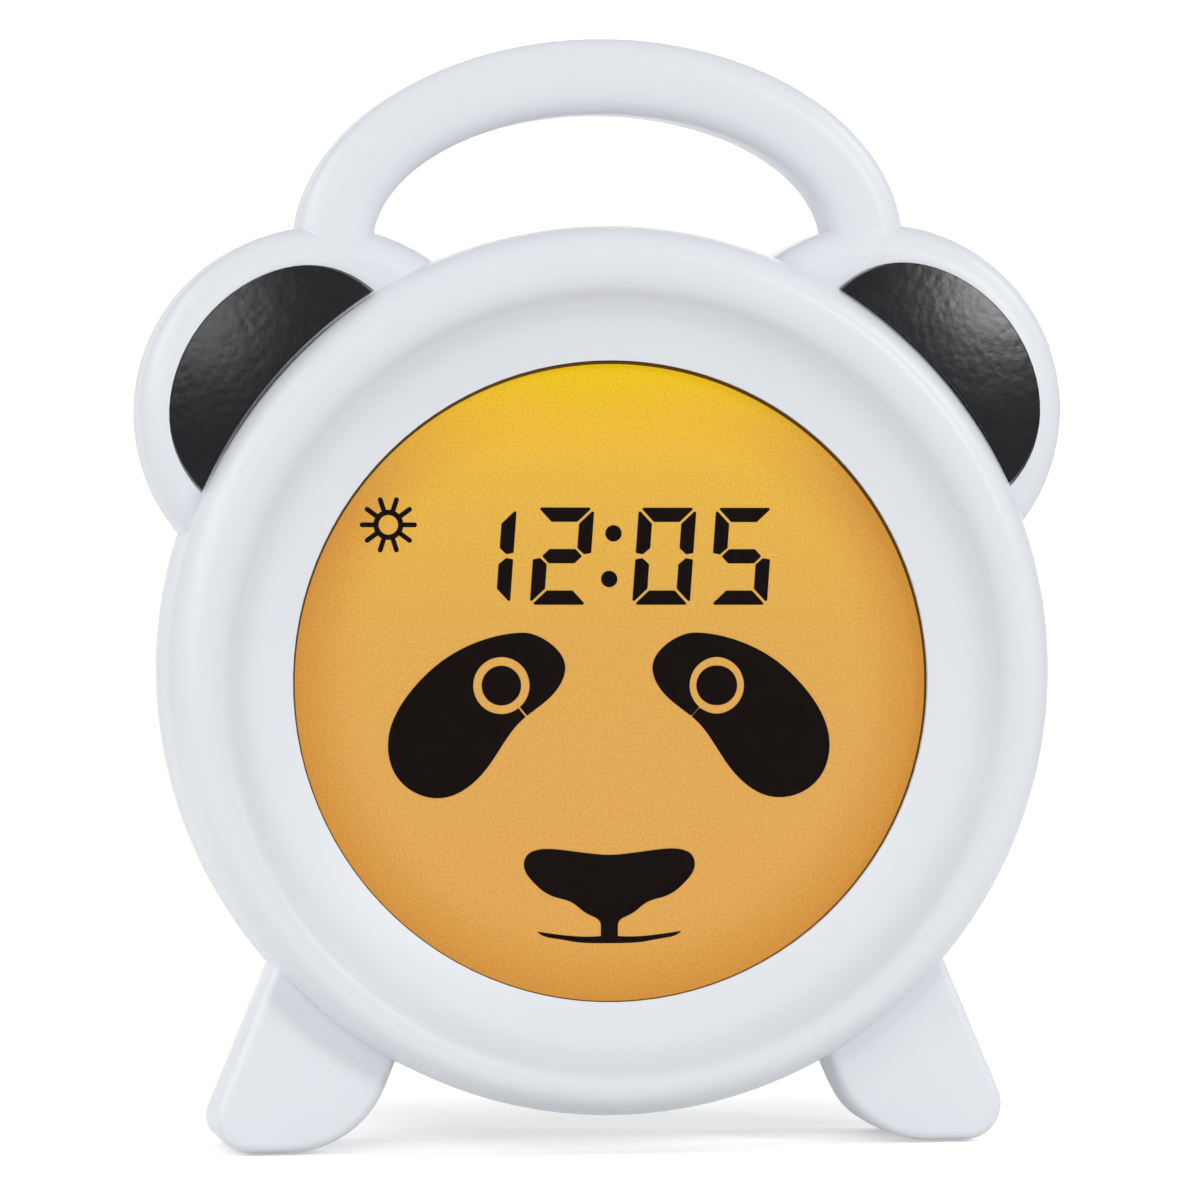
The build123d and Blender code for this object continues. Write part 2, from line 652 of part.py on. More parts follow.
reflector_sheet = octagon(lcd_half, y_reflector, y_reflector + reflector_thick)
reflector_sheet.label = "reflector_sheet"
export_step(reflector_sheet, "parts/reflector_sheet.step")

# dark segments of the display, from the middle of the dish
face_x = 0.25               # middle of the printed face beside the middle of the dish
face_shift, face_turn = (-0.22, -0.16), 0.6     # the print beside its middle, and its turn in degrees
colon_r = 1.26
digit_w, digit_h, digit_t = 8.95, 14.9, 2.2
digit_low = 11.85
digit_lean = tan(radians(4.0))
segment_gap = 0.28
digits = ((-24.15, "1"), (-12.15, "2"), (3.7, "0"), (15.7, "5"))
lit = {"0": "abcdef", "1": "bc", "2": "abdeg", "5": "acdfg"}


def segment_points(name):
    """Corners of one bar of a seven-bar digit, before it leans."""
    w, h, t, g = digit_w, digit_h, digit_t, segment_gap
    m = h / 2
    top = [(g, h), (w - g, h), (w - t - g, h - t), (t + g, h - t)]
    right = [(w, h - g), (w, m + g + 0.2), (w - t / 2, m + g), (w - t, m + t / 2 + g / 2), (w - t, h - t - g)]
    middle = [(t / 2 + g, m), (t + g, m + t / 2), (w - t - g, m + t / 2),
              (w - t / 2 - g, m), (w - t - g, m - t / 2), (t + g, m - t / 2)]
    bars = {"a": top, "b": right, "g": middle}
    bars["d"] = [(x, h - z) for x, z in top]
    bars["c"] = [(x, h - z) for x, z in right]
    bars["f"] = [(w - x, z) for x, z in right]
    bars["e"] = [(w - x, h - z) for x, z in right]
    return bars[name]


def digit(x_left, bars):
    with BuildSketch() as face:
        for name in bars:
            with BuildLine():
                Polyline(*[(x_left + x + digit_lean * z, digit_low + z)
                           for x, z in segment_points(name)], close=True)
            make_face()
        fillet(face.vertices(), 0.22)
    return face.sketch


def sun_icon():
    sun_x, sun_z, ray_count = -33.95, 24.05, 10
    with BuildSketch() as face:
        with Locations((sun_x, sun_z)):
            Circle(2.3)
            Circle(1.5, mode=Mode.SUBTRACT)
            with PolarLocations(3.15, ray_count):
                SlotOverall(2.5, 0.74)
    return face.sketch


def eye_patch():
    """Left eye: a leaning patch with a ring left clear round the pupil."""
    outline = [(-13.6, 7.6), (-9.4, 6.1), (-6.9, 2.6), (-8.3, -1.3), (-13.8, -6.0), (-19.5, -13.8),
               (-26.2, -17.7), (-32.4, -15.0), (-34.2, -9.0), (-30.0, -0.5), (-24.2, 4.4)]
    eye = (-16.75, -0.5)
    with BuildSketch() as face:
        with BuildLine():
            Spline(*outline, periodic=True)
        make_face()
        with Locations(eye):
            Circle(4.35, mode=Mode.SUBTRACT)
        with Locations(Location((eye[0] + 3.6, eye[1] - 4.4), -50)):
            Rectangle(3.4, 0.25, mode=Mode.SUBTRACT)
        with Locations(eye):
            Circle(3.05)
    return face.sketch


def nose_and_mouth():
    with BuildSketch() as face:
        with BuildLine():
            start, foot, tip = (0, -26.45), (-1.32, -37.2), (-11.2, -38.15)
            Spline(start, (-4.0, -26.1), (-7.0, -25.7), (-9.3, -25.5), (-11.4, -25.7), (-12.7, -26.4),
                   (-13.25, -27.8), (-12.9, -29.2), (-11.8, -30.6), (-10.1, -32.1), (-8.3, -32.95),
                   (-6.6, -33.4), (-5.4, -34.0), (-4.3, -34.9), (-2.9, -35.75), (-1.8, -36.3), foot)
            Line(foot, (-1.32, -38.9))
            Spline((-1.32, -38.9), (-5.0, -38.92), (-8.0, -38.62), tip)
            Spline(tip, (-10.4, -38.75), (-8.0, -39.3), (-5.2, -39.8), (-2.6, -39.98), (0, -40.0))
            Line((0, -40.0), start)
        make_face()
        mirror(about=Plane.YZ)
    return face.sketch


def printed_face():
    """Every dark segment, upright about the middle of the dish."""
    with BuildSketch() as face:
        for x_left, figure in digits:
            add(digit(x_left, lit[figure]))
        with Locations((face_x + 0.55, 22.8), (face_x - 0.1, 15.8)):
            Circle(colon_r)
        add(sun_icon())
        with Locations((face_x, 0)):
            add(eye_patch())
            add(mirror(eye_patch(), about=Plane.YZ))
            add(nose_and_mouth())
    return face.sketch


with BuildPart() as display_segments:
    with BuildSketch(facing(y_lcd, 0, dish_z)):
        add(printed_face().moved(Location((*face_shift, 0), (0, 0, -face_turn))))
    extrude(amount=segment_thick)
display_segments.part.label = "display_segments"
export_step(display_segments.part, "parts/display_segments.step")

# ------------------------------------------------------------------ tray behind the display
tray_half = lcd_half + fit_gap + tray_wall
led_gap, led_high, led_board_thick = 0.15, 1.4, 1.0
led_half_w, led_pitch, led_count = 20.0, 8.0, 5
led_z = -dish_drop + lcd_half + led_gap              # lowest face of the lamps, from the case's middle
ribbon_w, ribbon_thick = 28.0, 0.25
post_high = 1.6
y_board = y_tray_back + post_high
y_board_back = y_board + board_thick
board_posts = [(sx * (board_w / 2 - 4), board_z + sz * (board_h / 2 - 4))
               for sx in (-1, 1) for sz in (-1, 1)]

plug_w, plug_h, plug_tall = 7.0, 4.5, 6.0
plugs = {"speaker": (6.0, board_z + 22), "lamps": (-6.0, board_z + 22),
         "battery": (20.0, board_z + 22), "keys_left": (-24.0, board_z + 22),
         "keys_right": (32.5, board_z + 4), "power": (32.5, board_z - 8)}
with BuildPart() as display_frame:
    add(octagon(tray_half, y_lcd, y_tray_back))
    lamp_top = led_z + led_high + led_board_thick
    add(block(2 * led_half_w + 4, 14, y_lcd, y_tray_back, 0, lamp_top - 5))
    add(octagon(lcd_half + fit_gap, y_lcd - past, y_tray_floor), mode=Mode.SUBTRACT)
    add(block(2 * led_half_w + 4 * fit_gap, 8, y_lcd - past, y_tray_floor, 0, lamp_top + fit_gap - 4),
        mode=Mode.SUBTRACT)
    add(disc(0.55 * lcd_half, y_tray_floor - past, y_tray_back + past, z=dish_z), mode=Mode.SUBTRACT)
    add(block(6.0, 2.2, y_tray_floor - past, y_tray_back + past, plugs["lamps"][0],
              led_z + led_high + led_board_thick / 2), mode=Mode.SUBTRACT)
    # slot for the ribbon through the lower wall
    add(block(ribbon_w + 10 * fit_gap, 2 * tray_wall + 0.2, y_lcd - past, y_lcd + lcd_thick,
              0, -dish_drop - tray_half), mode=Mode.SUBTRACT)
    # lugs on the front shell's bosses and posts for the main board
    for x, z in tray_points:
        side = 1 if x > 0 else -1
        add(block(tray_lug_x + small_boss_r - lcd_half - 1, 2 * small_boss_r, y_tray_floor, y_tray_back,
                  side * (tray_lug_x + small_boss_r + lcd_half + 1) / 2, z))
    add(discs(small_hole_r, y_tray_floor - past, y_tray_back + past, tray_points), mode=Mode.SUBTRACT)
    add(discs(small_boss_r, y_tray_back, y_board, board_posts))
    add(discs(small_pilot_r, y_tray_floor + 0.4, y_board + past, board_posts), mode=Mode.SUBTRACT)
display_frame.part.label = "display_frame"
export_step(display_frame.part, "parts/display_frame.step")

lamp_places = [((i - (led_count - 1) / 2) * led_pitch, led_z + led_high / 2) for i in range(led_count)]
with BuildPart() as backlight_leds:
    for x, z in lamp_places:
        add(block(3.5, led_high, y_guide, y_guide + 2.8, x, z))
backlight_leds.part.label = "backlight_leds"
export_step(backlight_leds.part, "parts/backlight_leds.step")

led_board = block(2 * led_half_w, led_board_thick, y_lcd + 1, y_tray_floor - 0.1,
                  0, led_z + led_high + led_board_thick / 2)
led_board.label = "led_board"
export_step(led_board, "parts/led_board.step")

# ------------------------------------------------------------------ main board
with BuildPart() as main_board:
    add(block(board_w, board_h, y_board, y_board_back, 0, board_z, 3))
    add(discs(small_hole_r, y_board - past, y_board_back + past, board_posts), mode=Mode.SUBTRACT)
main_board.part.label = "main_board"
export_step(main_board.part, "parts/main_board.step")

chips = [(-8, board_z + 4, 12, 12, 1.5), (14, board_z + 2, 6, 5, 1.4), (22, board_z - 10, 5, 4, 1.2),
         (-24, board_z - 6, 5, 4, 1.2), (4, board_z - 9, 3.2, 10, 1.6)]
with BuildPart() as board_chips:
    for x, z, w, h, tall in chips:
        add(block(w, h, y_board_back, y_board_back + tall, x, z))
board_chips.part.label = "board_chips"
export_step(board_chips.part, "parts/board_chips.step")

capacitors = [(-30, board_z + 8, 3.1, 7.0), (28, board_z + 14, 3.1, 7.0), (-20, board_z - 16, 2.5, 5.5)]
with BuildPart() as board_capacitors:
    for x, z, r, tall in capacitors:
        with BuildSketch(facing(y_board_back + tall)):
            with Locations((x, z)):
                Circle(r)
        extrude(amount=tall)
    fillet(board_capacitors.edges().filter_by(GeomType.CIRCLE).filter_by(
        lambda e: e.center().Y > y_board_back + 1), 0.5)
board_capacitors.part.label = "board_capacitors"
export_step(board_capacitors.part, "parts/board_capacitors.step")

ribbon_socket_z = board_z - board_h / 2 + 3.5
ribbon_socket_h, ribbon_socket_tall = 3.6, 2.4
with BuildPart() as board_plugs:
    for x, z in plugs.values():
        add(block(plug_w, plug_h, y_board_back, y_board_back + plug_tall, x, z))
    add(block(ribbon_w + 4, ribbon_socket_h, y_board_back, y_board_back + ribbon_socket_tall,
              0, ribbon_socket_z))
board_plugs.part.label = "board_plugs"
export_step(board_plugs.part, "parts/board_plugs.step")

with BuildPart() as lcd_ribbon:
    y_leaves = y_lcd + lcd_thick / 2
    y_joins = y_board_back + ribbon_socket_tall / 2
    z_leaves = dish_z - lcd_half
    z_low = dish_z - tray_half - 1.2
    with BuildLine() as ribbon_path:
        FilletPolyline((0, y_leaves, z_leaves), (0, y_leaves, z_low), (0, y_joins, z_low),
                       (0, y_joins, ring_z + ribbon_socket_z - ribbon_socket_h / 2), radius=0.9)
    with BuildSketch(Plane(origin=ribbon_path.line @ 0, x_dir=(1, 0, 0), z_dir=(0, 0, -1))):
        Rectangle(ribbon_w, ribbon_thick)
    sweep(path=ribbon_path.line)
lcd_ribbon.part.label = "lcd_ribbon"
export_step(lcd_ribbon.part, "parts/lcd_ribbon.step")


# ------------------------------------------------------------------ keys and their boards
flange_thick, flange_over, stem_r, key_lift = 0.8, 1.0, 2.0, 0.2
y_key_out = y_back - 0.4
y_flange = y_panel_in - key_lift - flange_thick
key_board_thick = 1.6
tact_size, tact_tall = 6.0, 3.4
plunger_r, plunger_gap, plunger_out, plunger_in = 1.65, 0.1, 1.5, 1.7
y_tact = y_board_keys + tact_tall
keys = {"alarm": (1, 2), "set": (1, 1), "sound": (1, 0),
        "light": (-1, 2), "up": (-1, 1), "down": (-1, 0)}
key_places = {name: (side * key_x, key_zs[row]) for name, (side, row) in keys.items()}


def key_cap(x, z):
    """Key with a soft edge, a flange that keeps it in the shell and a stem to its switch."""
    with BuildPart() as key:
        add(block(key_w, key_h, y_flange + flange_thick / 2, y_key_out, x, z, key_corner))
        fillet(key.faces().sort_by(Axis.Y)[-1].edges(), 0.8)
        add(block(key_w + 2 * flange_over, key_h + 2 * flange_over, y_flange, y_flange + flange_thick,
                  x, z, key_corner + flange_over))
        add(discs(stem_r, y_tact + plunger_out, y_flange, [(x, z)]))
    return key.part


for name, (x, z) in key_places.items():
    cap = key_cap(x, z)
    cap.label = f"key_{name}"
    export_step(cap, f"parts/key_{name}.step")
    plunger = discs(plunger_r, y_tact - plunger_in, y_tact + plunger_out, [(x, z)])
    plunger.label = f"plunger_{name}"
    export_step(plunger, f"parts/plunger_{name}.step")

with BuildPart() as key_switches:
    for x, z in key_places.values():
        add(block(tact_size, tact_size, y_board_keys, y_tact, x, z))
        add(discs(plunger_r + plunger_gap, y_tact - plunger_in - key_travel - 0.2, y_tact + past, [(x, z)]),
            mode=Mode.SUBTRACT)
key_switches.part.label = "key_switches"
export_step(key_switches.part, "parts/key_switches.step")

key_board_inner, key_board_outer = key_x - panel_w / 2, key_post_low[0] + key_boss_r + 0.4
key_board_low = key_post_low[1] - key_boss_r - 0.2
key_board_high = key_post_high[1] + key_boss_r + 0.2
key_board_clear = 1.0       # edge of the board to the case


def inside_r(y):
    """Inner radius of the back's rounding at a depth."""
    share = (y - y_band) / (y_inside - y_band)
    return flat_r + (cavity_r - flat_r) * sqrt(1 - share * share)


def key_board(side):
    with BuildPart() as board:
        add(block(key_board_outer - key_board_inner, key_board_high - key_board_low,
                  y_board_keys - key_board_thick, y_board_keys,
                  side * (key_board_inner + key_board_outer) / 2, (key_board_low + key_board_high) / 2, 1.5))
        add(discs(small_hole_r, y_board_keys - key_board_thick - past, y_board_keys + past,
                  [(x, z) for x, z in key_posts if x * side > 0]), mode=Mode.SUBTRACT)
        add(disc(inside_r(y_board_keys) - key_board_clear, y_board_keys - key_board_thick - past,
                 y_board_keys + past), mode=Mode.INTERSECT)
    return board.part


key_board_left = key_board(-1)
key_board_left.label = "key_board_left"
export_step(key_board_left, "parts/key_board_left.step")
key_board_right = key_board(1)
key_board_right.label = "key_board_right"
export_step(key_board_right, "parts/key_board_right.step")

# ------------------------------------------------------------------ slide switch and power socket
knob_w, knob_long = 3.0, 5.6
behind_gap = 0.2            # part soldered or clipped behind the back
y_behind = y_inside - behind_gap
switch_deep = 6.0
y_switch = y_behind - switch_deep
knob_rest = switch_z - switch_travel / 2
with BuildPart() as switch_body:
    add(block(7.4, 16.5, y_switch, y_behind, switch_x, switch_z))
    add(block(knob_w + 2 * fit_gap, knob_long + 4 * fit_gap + switch_travel, y_switch + 1.5, y_behind + past,
              switch_x, switch_z), mode=Mode.SUBTRACT)
switch_body.part.label = "switch_body"
export_step(switch_body.part, "parts/switch_body.step")

y_knob = y_back - 0.3
knob_groove, knob_groove_pitch = 0.5, 1.3
with BuildPart() as switch_knob:
    add(block(knob_w, knob_long, y_switch + 1.6, y_knob, switch_x, knob_rest, 0.6))
    with Locations(*[(switch_x, y_knob, ring_z + knob_rest + i * knob_groove_pitch) for i in (-1, 0, 1)]):
        Box(knob_w + past, 2 * knob_groove, knob_groove, mode=Mode.SUBTRACT)
switch_knob.part.label = "switch_knob"
export_step(switch_knob.part, "parts/switch_knob.step")

socket_deep, socket_bore_r, socket_pin_r = 11.0, 2.85, 0.95
y_socket = y_behind - socket_deep
with BuildPart() as power_socket:
    add(block(9.0, 11.0, y_socket, y_behind, socket_x, socket_z))
    add(discs(socket_bore_r, y_socket + 1.5, y_behind + past, [(socket_x, socket_z)]), mode=Mode.SUBTRACT)
    add(discs(socket_pin_r, y_socket + 0.7, y_behind - 1.0, [(socket_x, socket_z)]))
power_socket.part.label = "power_socket"
export_step(power_socket.part, "parts/power_socket.step")

# ------------------------------------------------------------------ speaker
flange_t = 1.4
y_flange_front = y_speaker - flange_t
cone_r, basket_r, magnet_r = 12.2, 13.2, 8.3
basket_deep, magnet_thick = 5.3, 4.7
y_magnet = y_flange_front - basket_deep
y_terminal = y_flange_front - 3.0          # solder block on the basket's lower side
z_terminal = speaker_z - basket_r - 0.6
speaker_place = turning(0, ring_z + speaker_z)
speaker_axis = about(0, ring_z + speaker_z)

with BuildPart() as speaker_frame:
    add(block(2 * speaker_half, 2 * speaker_half, y_flange_front, y_speaker, 0, speaker_z, 2))
    add(discs(cone_r, y_flange_front - past, y_speaker + past, [(0, speaker_z)]), mode=Mode.SUBTRACT)
    add(discs(small_hole_r, y_flange_front - past, y_speaker + past, speaker_posts), mode=Mode.SUBTRACT)
    with BuildSketch(speaker_place):
        with BuildLine():
            Polyline((basket_r, y_flange_front), (basket_r, y_flange_front - 1.2),
                     (magnet_r + 0.6, y_magnet), (3.0, y_magnet),
                     (3.0, y_magnet + 0.8), (magnet_r + 0.1, y_magnet + 0.8),
                     (cone_r, y_flange_front - 0.8), (cone_r, y_flange_front), close=True)
        make_face()
    revolve(axis=speaker_axis)
    add(block(9, 3.0, y_terminal, y_flange_front, 0, z_terminal))
speaker_frame.part.label = "speaker_frame"
export_step(speaker_frame.part, "parts/speaker_frame.step")

with BuildPart() as speaker_cone:
    paper = 0.4
    y_edge = y_speaker - 0.8
    with BuildSketch(speaker_place):
        with BuildLine():
            Polyline((cone_r, y_edge), (cone_r - 1.8, y_edge), (4.0, y_edge - 2.8), (0, y_edge - 1.9),
                     (0, y_edge - 1.9 - paper), (4.0, y_edge - 2.8 - paper), (cone_r - 1.6, y_edge - paper),
                     (cone_r, y_edge - paper), close=True)
        make_face()
    revolve(axis=speaker_axis)
speaker_cone.part.label = "speaker_cone"
export_step(speaker_cone.part, "parts/speaker_cone.step")

with BuildPart() as speaker_magnet:
    add(discs(magnet_r, y_magnet - magnet_thick, y_magnet, [(0, speaker_z)]))
    fillet(speaker_magnet.faces().sort_by(Axis.Y)[0].edges(), 0.6)
speaker_magnet.part.label = "speaker_magnet"
export_step(speaker_magnet.part, "parts/speaker_magnet.step")

with BuildPart() as speaker_gasket:
    add(discs(basket_r + 0.6, y_speaker, y_inside, [(0, speaker_z)]))
    add(discs(cone_r - 0.2, y_speaker - past, y_inside + past, [(0, speaker_z)]), mode=Mode.SUBTRACT)
speaker_gasket.part.label = "speaker_gasket"
export_step(speaker_gasket.part, "parts/speaker_gasket.step")

# ------------------------------------------------------------------ batteries, contacts and door
bay_end = bay_w / 2
nub_r, nub_long = 2.7, 1.0


def lengthwise(radius, x_from, x_to, z, y=y_cell):
    """Round solid along X."""
    with BuildPart() as solid:
        with BuildSketch(Plane.YZ.offset(x_from)):
            with Locations((y, ring_z + z)):
                Circle(radius)
        extrude(amount=x_to - x_from)
    return solid.part


with BuildPart() as batteries:
    for i, z in enumerate(cell_zs):
        side = 1 if i % 2 == 0 else -1               # side of the cell's positive end
        x_nub = side * (bay_end - contact_thick - 0.05)
        x_body = x_nub - side * nub_long
        x_flat = x_nub - side * cell_long
        add(lengthwise(cell_r, min(x_body, x_flat), max(x_body, x_flat), z))
        add(lengthwise(nub_r, min(x_body, x_nub), max(x_body, x_nub), z))
    fillet(batteries.edges().filter_by(GeomType.CIRCLE).filter_by(
        lambda e: abs(e.radius - cell_r) < 0.01), 0.6)
batteries.part.label = "batteries"
export_step(batteries.part, "parts/batteries.step")

contact_w = 11.0
tab_x = bay_end - contact_thick / 2
y_tab = y_bay - bay_wall - 1.0             # end of the tabs that the leads are soldered to
pairs = {1: ([0], [1, 2]), -1: ([0, 1], [2])}       # cells that each plate joins, by side
with BuildPart() as contact_plates:
    for side, plates in pairs.items():
        for group in plates:
            z_low = min(cell_zs[i] for i in group) - contact_w / 2
            z_high = max(cell_zs[i] for i in group) + contact_w / 2
            with BuildSketch(facing(y_cell + contact_w / 2)):
                with Locations((side * tab_x, (z_low + z_high) / 2)):
                    Rectangle(contact_thick, z_high - z_low)
            extrude(amount=contact_w)
        end_cell = cell_zs[0] if side == 1 else cell_zs[-1]
        add(block(contact_thick, tab_w, y_tab, y_cell, side * tab_x, end_cell))
contact_plates.part.label = "contact_plates"
export_step(contact_plates.part, "parts/contact_plates.step")

spring_wire, spring_r, spring_turns = 0.35, 4.4, 3
with BuildPart() as battery_springs:
    for i, z in enumerate(cell_zs):
        side = 1 if i % 2 == 0 else -1               # the spring presses towards this side
        x_start = -side * (bay_end - contact_thick - spring_wire - 0.02)
        rise = spring_long + 0.2 - 2 * spring_wire
        with BuildLine(mode=Mode.PRIVATE) as coil:
            Helix(rise / spring_turns, rise, spring_r, center=(x_start, y_cell, ring_z + z),
                  direction=(side, 0, 0), cone_angle=-12)
        with BuildSketch(Plane(origin=coil.line @ 0, z_dir=coil.line % 0)):
            Circle(spring_wire)
        sweep(path=coil.line, is_frenet=True)
battery_springs.part.label = "battery_springs"
export_step(battery_springs.part, "parts/battery_springs.step")

door_notch = 2.4
door_sink_r, door_sink = 2.5, 1.05         # counterbore of the door's screw
grips = 4
with BuildPart() as battery_door:
    add(block(door_w, door_top - hinge_z, y_door_in, y_door_out, 0, (door_top + hinge_z) / 2, door_corner))
    for side in (-1, 1):
        add(block(door_w, 2 * door_notch, y_door_in - past, y_door_out + past,
                  side * (hinge_half + door_w / 2), hinge_z), mode=Mode.SUBTRACT)
    add(lengthwise(hinge_barrel_r, -hinge_half, hinge_half, hinge_z, y_hinge))
    add(lengthwise(hinge_pin_r, -hinge_half - hinge_pin_out, hinge_half + hinge_pin_out, hinge_z, y_hinge))
    add(discs(small_hole_r, y_door_in - past, y_door_out + past, [(0, door_screw_z)]), mode=Mode.SUBTRACT)
    add(discs(door_sink_r, y_door_out - door_sink, y_door_out + past, [(0, door_screw_z)]),
        mode=Mode.SUBTRACT)
    for i in range(grips):
        add(block(16 - 2 * i, 0.8, y_door_out - 0.5, y_door_out + past, 0, bay_top - 3 - 2.2 * i, 0.35),
            mode=Mode.SUBTRACT)
battery_door.part.label = "battery_door"
export_step(battery_door.part, "parts/battery_door.step")


# ------------------------------------------------------------------ screws
def screws(points, y_under, length, head_r, head_t, shank_r, way):
    """Pan-head screws with a cross recess; way is 1 where the shank points to the back."""
    with BuildPart() as group:
        y_top, y_tip = y_under - way * head_t, y_under + way * length
        for x, z in points:
            add(discs(head_r, min(y_top, y_under), max(y_top, y_under), [(x, z)]))
            add(discs(shank_r, min(y_under, y_tip), max(y_under, y_tip), [(x, z)]))
            y_slot = y_top + way * 0.55 * head_t
            for w, h in ((1.3 * head_r, 0.28 * head_r), (0.28 * head_r, 1.3 * head_r)):
                add(block(w, h, min(y_top - way, y_slot), max(y_top - way, y_slot), x, z), mode=Mode.SUBTRACT)
    return group.part


case_screws = screws(case_points, y_case_head, y_case_head - y_seam + case_bite,
                     case_head_r - 0.6, 2.0, case_pilot_r - 0.05, -1)
case_screws.label = "case_screws"
export_step(case_screws, "parts/case_screws.step")

small_head_r, small_shank_r = 2.0, small_pilot_r - 0.05
tray_screws = screws(tray_points, y_tray_back, tray_floor + tray_bite, small_head_r, 1.2, small_shank_r, -1)
tray_screws.label = "tray_screws"
export_step(tray_screws, "parts/tray_screws.step")

board_screws = screws(board_posts, y_board_back, y_board_back - y_tray_floor - 0.6,
                      small_head_r, 1.2, small_shank_r, -1)
board_screws.label = "board_screws"
export_step(board_screws, "parts/board_screws.step")

key_head_r, key_shank_r = 1.8, key_pilot_r - 0.05
key_board_screws = screws(key_posts, y_board_keys - key_board_thick, key_board_thick + key_bite,
                          key_head_r, 1.1, key_shank_r, 1)
key_board_screws.label = "key_board_screws"
export_step(key_board_screws, "parts/key_board_screws.step")

speaker_screws = screws(speaker_posts, y_flange_front, flange_t + speaker_bite,
                        key_head_r, 1.1, key_shank_r, 1)
speaker_screws.label = "speaker_screws"
export_step(speaker_screws, "parts/speaker_screws.step")

battery_door_screw = screws([(0, door_screw_z)], y_door_out - door_sink, door_screw_long,
                            door_sink_r - 0.3, 1.0, small_shank_r, -1)
battery_door_screw.label = "battery_door_screw"
export_step(battery_door_screw, "parts/battery_door_screw.step")

# ------------------------------------------------------------------ leads inside the case
lead_r, lead_pitch = 0.6, 2.4
y_plug = y_board_back + plug_tall
y_run = y_plug + 2.9                       # leads run between the board's parts and the battery bay


def lead(points):
    """Round lead through points (X, Y, Z from the case's middle), bent as gently as its runs allow."""
    route = [Vector(x, y, ring_z + z) for x, y, z in points]
    bends = []
    for before, corner, after in zip(route, route[1:], route[2:]):
        turn = radians((corner - before).get_angle(after - corner))
        bends.append(0.45 * min((corner - before).length, (after - corner).length) / tan(turn / 2))
    with BuildPart() as wire:
        with BuildLine() as path:
            FilletPolyline(*route, radius=bends)
        with BuildSketch(Plane(origin=path.line @ 0, z_dir=path.line % 0)):
            Circle(lead_r)
        sweep(path=path.line)
    return wire.part


def lead_group(routes):
    with BuildPart() as group:
        for points in routes:
            add(lead(points))
    return group.part


def side_by_side(count):
    return [(i - (count - 1) / 2) * lead_pitch for i in range(count)]


plug_x, plug_z = plugs["speaker"]
speaker_leads = lead_group([[(dx, y_terminal, z_terminal), (dx, y_terminal - 5, z_terminal),
                             (plug_x + dx, y_plug + 5, plug_z), (plug_x + dx, y_plug, plug_z)]
                            for dx in side_by_side(2)])
speaker_leads.label = "speaker_leads"
export_step(speaker_leads, "parts/speaker_leads.step")

plug_x, plug_z = plugs["lamps"]
z_lamp_board = led_z + led_high + led_board_thick / 2
lamp_leads = lead_group([[(plug_x + dx, y_tray_floor - stack_gap, z_lamp_board),
                          (plug_x + dx, y_board, z_lamp_board), (plug_x + dx, y_run, z_lamp_board - 9),
                          (plug_x + dx, y_run, plug_z), (plug_x + dx, y_plug, plug_z)]
                         for dx in side_by_side(2)])
lamp_leads.label = "lamp_leads"
export_step(lamp_leads, "parts/lamp_leads.step")

plug_x, plug_z = plugs["battery"]
tabs = ((tab_x, cell_zs[0], lead_pitch / 2), (-tab_x, cell_zs[2], -lead_pitch / 2))
battery_leads = lead_group([[(x, y_tab, z), (x, y_run, z), (plug_x + dx, y_run, plug_z),
                             (plug_x + dx, y_plug, plug_z)] for x, z, dx in tabs])
battery_leads.label = "battery_leads"
export_step(battery_leads, "parts/battery_leads.step")

y_key_board = y_board_keys - key_board_thick
left_x, left_z = plugs["keys_left"]
right_x, right_z = plugs["keys_right"]
left_routes = [[(left_x - 2 + dx, y_key_board, left_z - 3), (left_x - 2 + dx, y_key_board - 4, left_z - 3),
                (left_x + 0.8 * dx, y_plug + 4, left_z), (left_x + 0.8 * dx, y_plug, left_z)]
               for dx in side_by_side(3)]
right_start = right_x - 4.5
right_routes = [[(right_start + dx, y_key_board, key_board_low + 6),
                 (right_start + dx, y_key_board - 6, key_board_low + 6),
                 (right_x + 0.8 * dx, y_plug + 4, right_z), (right_x + 0.8 * dx, y_plug, right_z)]
                for dx in side_by_side(3)]
key_leads = lead_group(left_routes + right_routes)
key_leads.label = "key_leads"
export_step(key_leads, "parts/key_leads.step")

plug_x, plug_z = plugs["power"]
power_leads = lead_group([[(socket_x + dx, y_socket, socket_z), (socket_x + dx, y_socket - 4, socket_z),
                           (plug_x + dx, y_plug + 4, plug_z), (plug_x + dx, y_plug, plug_z)]
                          for dx in side_by_side(2)])
power_leads.label = "power_leads"
export_step(power_leads, "parts/power_leads.step")

solder_x, solder_z = switch_x + 4.5, switch_z - 6
switch_leads = lead_group([[(switch_x + dx, y_switch, switch_z), (switch_x + dx, y_switch - 6, switch_z),
                            (solder_x + dx, y_run, solder_z), (solder_x + dx, y_board_back, solder_z)]
                           for dx in side_by_side(2)])
switch_leads.label = "switch_leads"
export_step(switch_leads, "parts/switch_leads.step")
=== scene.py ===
"""Finishes, markings, light and camera of the round children's alarm clock.

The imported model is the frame: metres, Z up, X to the right of someone facing the display, Y to the back.
"""
import json
import math

import bmesh
import bpy
from mathutils import Matrix, Vector


